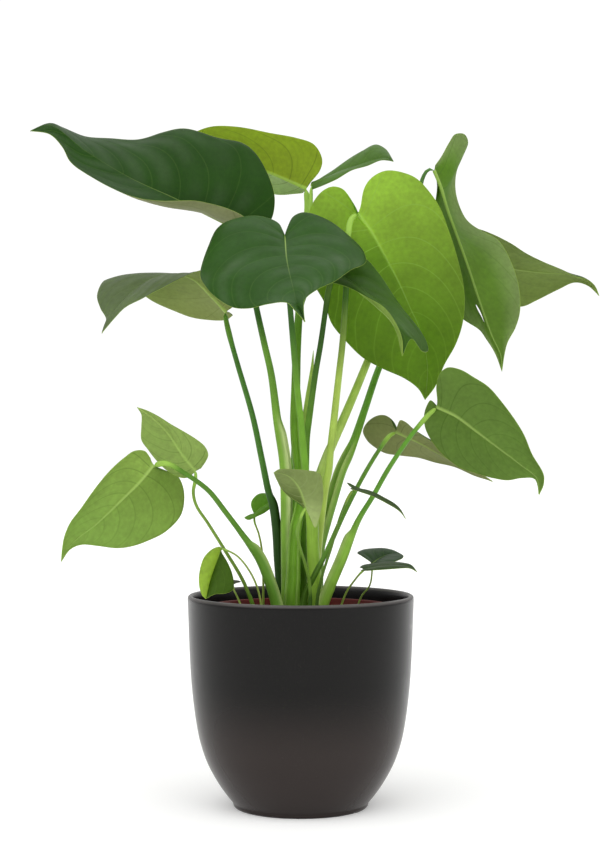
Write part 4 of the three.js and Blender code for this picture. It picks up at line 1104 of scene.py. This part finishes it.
leaf(
    "rim_left_back",
    rib=[[-60, -30, 196], [-62, -22, 199], [-62, -12, 199], [-60, -6, 196]],
    right=[[-57, -30, 197], [-53, -24, 198], [-54, -16, 198], [-58, -9, 197]],
    left=[[-62, -31, 197], [-67, -25, 199], [-67, -17, 199], [-63, -9, 198]],
    path=[[-48, -36, 158], [-54, -35, 180], [-59, -32, 191]],
    arch=[1, 1], radii=[1.3, 1.01, 1.1, 0.9], sheath=0.2, low="#8fa84e", high="#94ac50",
    tissue=dict(upper="#2c3014", under="#3a3c20", line="#3a3a20", thin=0.2, gloss=0.5),
    slot="leaf_green", veins=4, columns=12, wave=0.2, seed=163,
)


# A small leaf behind the left stalks
# A small round blade that shows between the stalks, with the light on it. Its own stalk is short, thin
# and upright, and stands at the left of the soil.

leaf(
    "bud_left",
    rib=[[-41, 18, 258], [-35, 22, 264], [-28, 26, 268], [-21, 29, 269]],
    right=[[-45, 16, 256], [-50, 13, 255], [-46, 9, 253], [-39, 10, 256], [-31, 15, 260], [-25, 22, 265]],
    left=[
        [-42, 21, 262], [-44, 25, 267], [-42, 29, 272], [-37, 33, 276], [-31, 34, 276.5],
        [-25, 32, 273.5],
    ],
    path=[[-33, 10, 158], [-34, 12, 222], [-37, 15, 240], [-41, 17, 252]],
    arch=[1, 1], radii=[1.6, 1.25, 1.2, 0.9], sheath=0.2, low="#8fa84e", high="#9ab04e",
    tissue=dict(upper="#66962e", under="#64902e", line="#4a7022", thin=0.25, gloss=0.45, sheen=0.02),
    slot="leaf_green", veins=4, columns=14, wave=0.3, seed=175,
)


# A small leaf in front of the stalks
# A dull drooping blade, grey-green beneath, bent along its rib. Its thin bent stalk stands at the
# very front of the soil.

leaf(
    "front_small",
    rib=[[4, -74, 264], [-1, -73, 280], [-10, -67, 291], [-24, -56, 295]],
    right=[[3, -80, 264], [-1, -86, 268], [-9, -89, 273], [-16, -84, 279], [-21, -71, 288]],
    left=[
        [8, -74, 256], [13, -75, 246], [17, -76, 256], [20, -76, 270], [20, -74, 283], [17, -70, 294],
        [6, -65, 297], [-8, -60, 298], [-19, -57, 298],
    ],
    path=[[8, -46, 158], [8, -50, 195], [4, -60, 214], [-1, -70, 230], [-3, -77, 243], [0, -79, 255]],
    arch=[2, 3], radii=[2.2, 1.72, 1.5, 1.1], sheath=0.25, low="#3f6220", high="#6f9438",
    wing_edge="#58782a",
    tissue=dict(
        upper="#4a6a2c", under="#a9ba78", line="#9dab70", thin=0.25, gloss=0.5, end="#8c9c5e",
        half=("#5f7034", "#4a6a2c"),
    ),
    slot="leaf_green", veins=5, columns=20, wave=0.4, seed=188,
)


# A broad low leaf at the right
# The counterpart of the broad one at the left: its underside faces the front and ends in a fine drip
# tip. Its stout stalk leans out over the rim.

leaf(
    "low_right",
    rib=[
        [120, -44, 353], [137, -46, 345], [156, -46, 331], [176, -46, 316], [196, -48, 301],
        [209, -50, 290], [211, -52, 275],
    ],
    right=[
        [121, -49, 359], [120, -57, 372], [123, -65, 383], [130, -68, 388], [141, -68, 386],
        [153, -67, 379], [165, -66, 371], [176, -65, 359], [188, -63, 344], [198, -61, 328],
        [205, -58, 311], [215, -55, 293], [215, -54, 284],
    ],
    left=[
        [118, -43, 356], [115, -42, 359], [111, -38, 353], [109, -33, 344], [111, -28, 332],
        [120, -24, 317], [130, -23, 307], [141, -25, 299], [156, -29, 294], [170, -34, 290],
        [183, -38, 288], [196, -43, 290], [207, -48, 289],
    ],
    path=[
        [13.5, -34, 158], [19.8, -34, 179], [28, -35, 200], [35.8, -36, 218], [42.5, -37, 235],
        [50.2, -39, 252], [63.8, -40, 274], [78, -42, 299], [96.6, -44, 326.5], [112, -45, 345],
    ],
    arch=[4, 4], radii=[7.0, 6.0, 3.1, 2.4], sheath=0.42, low="#86b43e", high="#5e942e", flap=0.6,
    tissue=dict(upper="#426a20", under="#6f8c40", line="#526e2c", thin=0.32, gloss=0.45),
    slot="leaf_green", veins=8, columns=30, wave=0.6, seed=201,
)


# A folded leaf behind it
# Folded along its rib, dull and greyish beneath, and partly hidden by the broad leaf. Its stalk
# starts at the front of the soil and leans back, behind that of the broad leaf.

leaf(
    "low_right_back",
    rib=[[84, 22, 331], [104, 20, 322], [122, 18, 312], [148, 12, 298], [170, 8, 287]],
    right=[
        [85, 18, 335], [88, 10, 341], [93, 4, 339], [101, -1, 332], [111, -5, 325], [124, -6, 318],
        [141, -3, 306], [156, 2, 296],
    ],
    left=[
        [82, 26, 336], [78, 32, 344], [71, 38, 346], [63, 44, 343], [57, 48, 337], [55, 51, 331],
        [59, 54, 323], [66, 55, 317], [75, 55, 312], [88, 52, 310], [104, 48, 308], [118, 42, 304],
        [136, 31, 300], [154, 20, 292],
    ],
    path=[
        [0, -34, 158], [4, -36, 186], [12, -46, 203], [24, -48, 227], [38, -36, 258], [56, -12, 293],
        [70, 6, 316], [79, 16, 328],
    ],
    arch=[3, 3], radii=[3.2, 2.7, 2.6, 2.1], sheath=0.3, low="#4c7420", high="#5c8a2c",
    wing_edge="#5a7d2c",
    tissue=dict(upper="#465c2c", under="#8f9660", line="#6e764a", thin=0.25, gloss=0.5),
    slot="leaf_green", veins=6, columns=24, wave=0.5, seed=214,
)


# A narrow leaf seen edge on
# A small blade whose folded sides show as a thin grey-green strip below the broad leaf. Its stalk is
# thin, and stands at the front of the soil.

leaf(
    "edge_right",
    rib=[[46, -62, 280], [60, -66, 277], [75, -70, 270], [87, -74, 263], [93, -76, 254]],
    right=[
        [44, -66, 281], [45, -73, 280], [52, -79, 278], [64, -81, 274], [76, -81, 268], [87, -79, 261],
    ],
    left=[[43, -58, 283], [41, -52, 286], [50, -50, 281], [62, -54, 278], [75, -60, 272], [86, -68, 265]],
    path=[
        [13.5, -48, 158], [15, -48.5, 184], [19.5, -51, 205], [27.5, -56, 230], [35, -59.5, 256],
        [42, -61, 273],
    ],
    arch=[1, 1], radii=[2.0, 1.56, 1.5, 1.2], sheath=0.3, low="#3f5e1c", high="#577a28",
    wing_edge="#587a2a", knee="#8ca844",
    tissue=dict(upper="#4a5e38", under="#6c7e48", line="#566838", thin=0.25, gloss=0.5),
    slot="leaf_green", veins=4, columns=14, wave=0.3, seed=227,
)


# A small dark leaf low on the right
# An early entire blade just above the rim, turned away from the front. Its stalk is as thin as string
# and stands near the wall of the nursery pot.

leaf(
    "rim_right_back",
    rib=[[63, -4, 214], [70, 8, 219], [80, 20, 223], [90, 30, 222]],
    right=[[66, -9, 213], [73, -12, 214], [80, -8, 215], [86, 2, 217], [90, 13, 219], [91, 22, 221]],
    left=[
        [60, -6, 217], [54, -2, 221], [50, 5, 224], [55, 15, 227], [64, 24, 228], [73, 30, 228],
        [82, 32, 226],
    ],
    path=[[46, 4, 158], [53, 2, 184], [61, -2, 195], [63, -4, 206]],
    arch=[2, 2], radii=[1.3, 1.01, 1.0, 0.9], sheath=0.2, low="#94ac50", high="#8fa84e",
    tissue=dict(upper="#304c28", under="#586c3c", line="#46582c", thin=0.25),
    slot="leaf_green", veins=4, columns=14, wave=0.3, seed=239,
)


# A small flat leaf in front of it
# An early entire blade as well, level and seen almost edge on, that reaches out over the rim. Its
# stalk is thin and leans to the right.

leaf(
    "rim_right",
    rib=[[56, -34, 209], [70, -34, 212], [85, -33, 213], [97, -32, 211], [103, -32, 207]],
    right=[[53, -38, 208], [58, -45, 208], [71, -47, 209], [85, -44, 210], [96, -38, 210]],
    left=[[52, -29, 211], [55, -22, 213], [67, -18, 215], [78, -18, 216], [90, -22, 215], [98, -27, 213]],
    path=[[30, -18, 158], [40, -24, 188], [48, -30, 200], [53, -33, 206]],
    arch=[1, 1], radii=[1.5, 1.17, 1.2, 1.0], sheath=0.2, low="#94ac50", high="#94ac50",
    tissue=dict(upper="#3f5630", under="#5f703c", line="#4c5e2c", thin=0.25, gloss=0.45),
    slot="leaf_green", veins=4, columns=14, wave=0.2, seed=251,
)


# The next leaf, still rolled up
# A smooth pale spear between the stalks: one blade rolled on itself, whose free edge runs up it in a
# slow spiral. It stands in the soil like the stalks.

spear_path = smooth_curve(seen([
    [-4.5, 20, 158], [-4, 19, 220], [-2, 15, 271], [0, 14, 298], [1.5, 13, 326], [3.4, 11, 342],
    [6.8, 7, 364], [9.8, 2, 385], [11.2, -1, 403],
]), 120)
spear_heading = unit(np.gradient(spear_path, axis=0))
spear_inner = unit(np.cross(spear_heading, [0, 1, 0.2]))
spear_across = np.cross(spear_heading, spear_inner)
turn = np.linspace(0, 2 * np.pi, 28, endpoint=False)
u, turn = np.meshgrid(np.linspace(0, 1, 121), turn, indexing="ij")
# The roll's radius grows by half a millimetre over one turn and steps back at the free edge.
lap = np.mod(turn - 5 * u, 2 * np.pi) / (2 * np.pi)
spear_radius = np.interp(u, [0, 0.5, 0.84, 0.92, 0.98, 1], [2.3, 2.6, 2.6, 1.9, 0.7, 0.2])
spear_radius = spear_radius * (0.86 + 0.2 * lap)
spear_rings = (
    spear_path[:, None]
    + (spear_radius * np.cos(turn))[..., None] * spear_inner[:, None]
    + (spear_radius * np.sin(turn))[..., None] * spear_across[:, None]
)
spear_points, spear_faces = closed_body(spear_rings, spear_path[0], spear_path[-1])
spear_uv = np.stack([np.append(turn / 6.3, [0, 0]), np.append(u * 0.25, [0, 0])], -1)
shares = np.append(u, [0, 1])
base, end = (np.array(linear(code)[:3]) for code in ("#6f9c38", "#a3c457"))
spear_tint = base + shares[:, None] * (end - base)
make_piece(
    "rolled_new_leaf", spear_points, spear_faces, green_stalk, "stalk_green", "new_leaf", spear_uv,
    tint=spear_tint,
)


# Floor
# A wide sheet of matte white acrylic under the pot, lit a little from below as on a table for product
# pictures, so that only the soft shadow at the pot's foot shows.

acrylic, tree, place = new_material("lit_white_acrylic")
tooth = add_node(tree, "TexNoise", {"Vector": place, "Scale": 400, "Detail": 2})
white = add_node(tree, "Mix", {0: tooth, 6: "#f4f4f3", 7: "#f9f9f8"}, data_type="RGBA")
matte = add_node(tree, "BsdfDiffuse", {"Color": white, "Roughness": 0.5})
glow = add_node(tree, "Emission", {"Color": white, "Strength": 0.16})
surface = add_node(tree, "AddShader", {0: matte, 1: glow})
add_node(tree, "OutputMaterial", {"Surface": surface})
sheet = bpy.data.meshes.new("studio_floor")
reach = 9
corners = [(-reach, -reach, 0), (reach, -reach, 0), (reach, reach, 0), (-reach, reach, 0)]
sheet.from_pydata(corners, [], [(0, 1, 2, 3)])
sheet.materials.append(acrylic)
floor = bpy.data.objects.new("studio_floor", sheet)
bpy.context.scene.collection.objects.link(floor)


# Light
# A white surround and three very broad soft lights: the strongest high at the front left, a weaker one
# at the right, and one above and behind that shines through the leaves.

world = bpy.data.worlds.new("white_studio")
bpy.context.scene.world = world
world.use_nodes = True
tree = world.node_tree
tree.nodes.clear()
# It lights at 0.6 and is seen at 1.05, so that it shows pure white and yet leaves a soft shadow.
to_eye = add_node(tree, "LightPath").outputs["Is Camera Ray"]
strength = add_node(tree, "MapRange", {"Value": to_eye, "To Min": 0.6, "To Max": 1.05})
surround = add_node(tree, "Background", {"Color": (1, 1, 1, 1), "Strength": strength})
add_node(tree, "OutputWorld", {"Surface": surround})


def soft_light(name, direction, spread, strength):
    """An even light from that direction, spread over so many degrees of the surround."""
    light = bpy.data.lights.new(name, "SUN")
    light.energy = strength
    light.angle = np.radians(spread)
    lamp = bpy.data.objects.new(name, light)
    lamp.rotation_euler = Vector(direction).to_track_quat("Z", "Y").to_euler()
    bpy.context.scene.collection.objects.link(lamp)


soft_light("key_light", (-0.6, -0.75, 1.3), 90, 1.3)
soft_light("fill_light", (1.0, -0.6, 0.6), 70, 0.5)
soft_light("back_light", (0.25, 0.8, 1.2), 70, 0.7)


# Camera
# It stands in for the one that took the photograph: a long lens at the eye that seen() works with, in
# front of the pot and at the height of the stalks' middle, level but for a quarter of a degree.

picture_height = 848
focal_length = 1944
tilt_down = 0.236
lens = bpy.data.cameras.new("front_camera")
lens.sensor_fit = "VERTICAL"
lens.sensor_height = 36
lens.lens = lens.sensor_height * focal_length / picture_height
lens.clip_end = 50
camera = bpy.data.objects.new("front_camera", lens)
camera.location = (0.002, -eye_away / 1000, eye_high / 1000)
camera.rotation_euler = (np.radians(90 - tilt_down), 0, 0)
bpy.context.scene.collection.objects.link(camera)
bpy.context.scene.camera = camera
bpy.context.scene.view_settings.view_transform = "Standard"
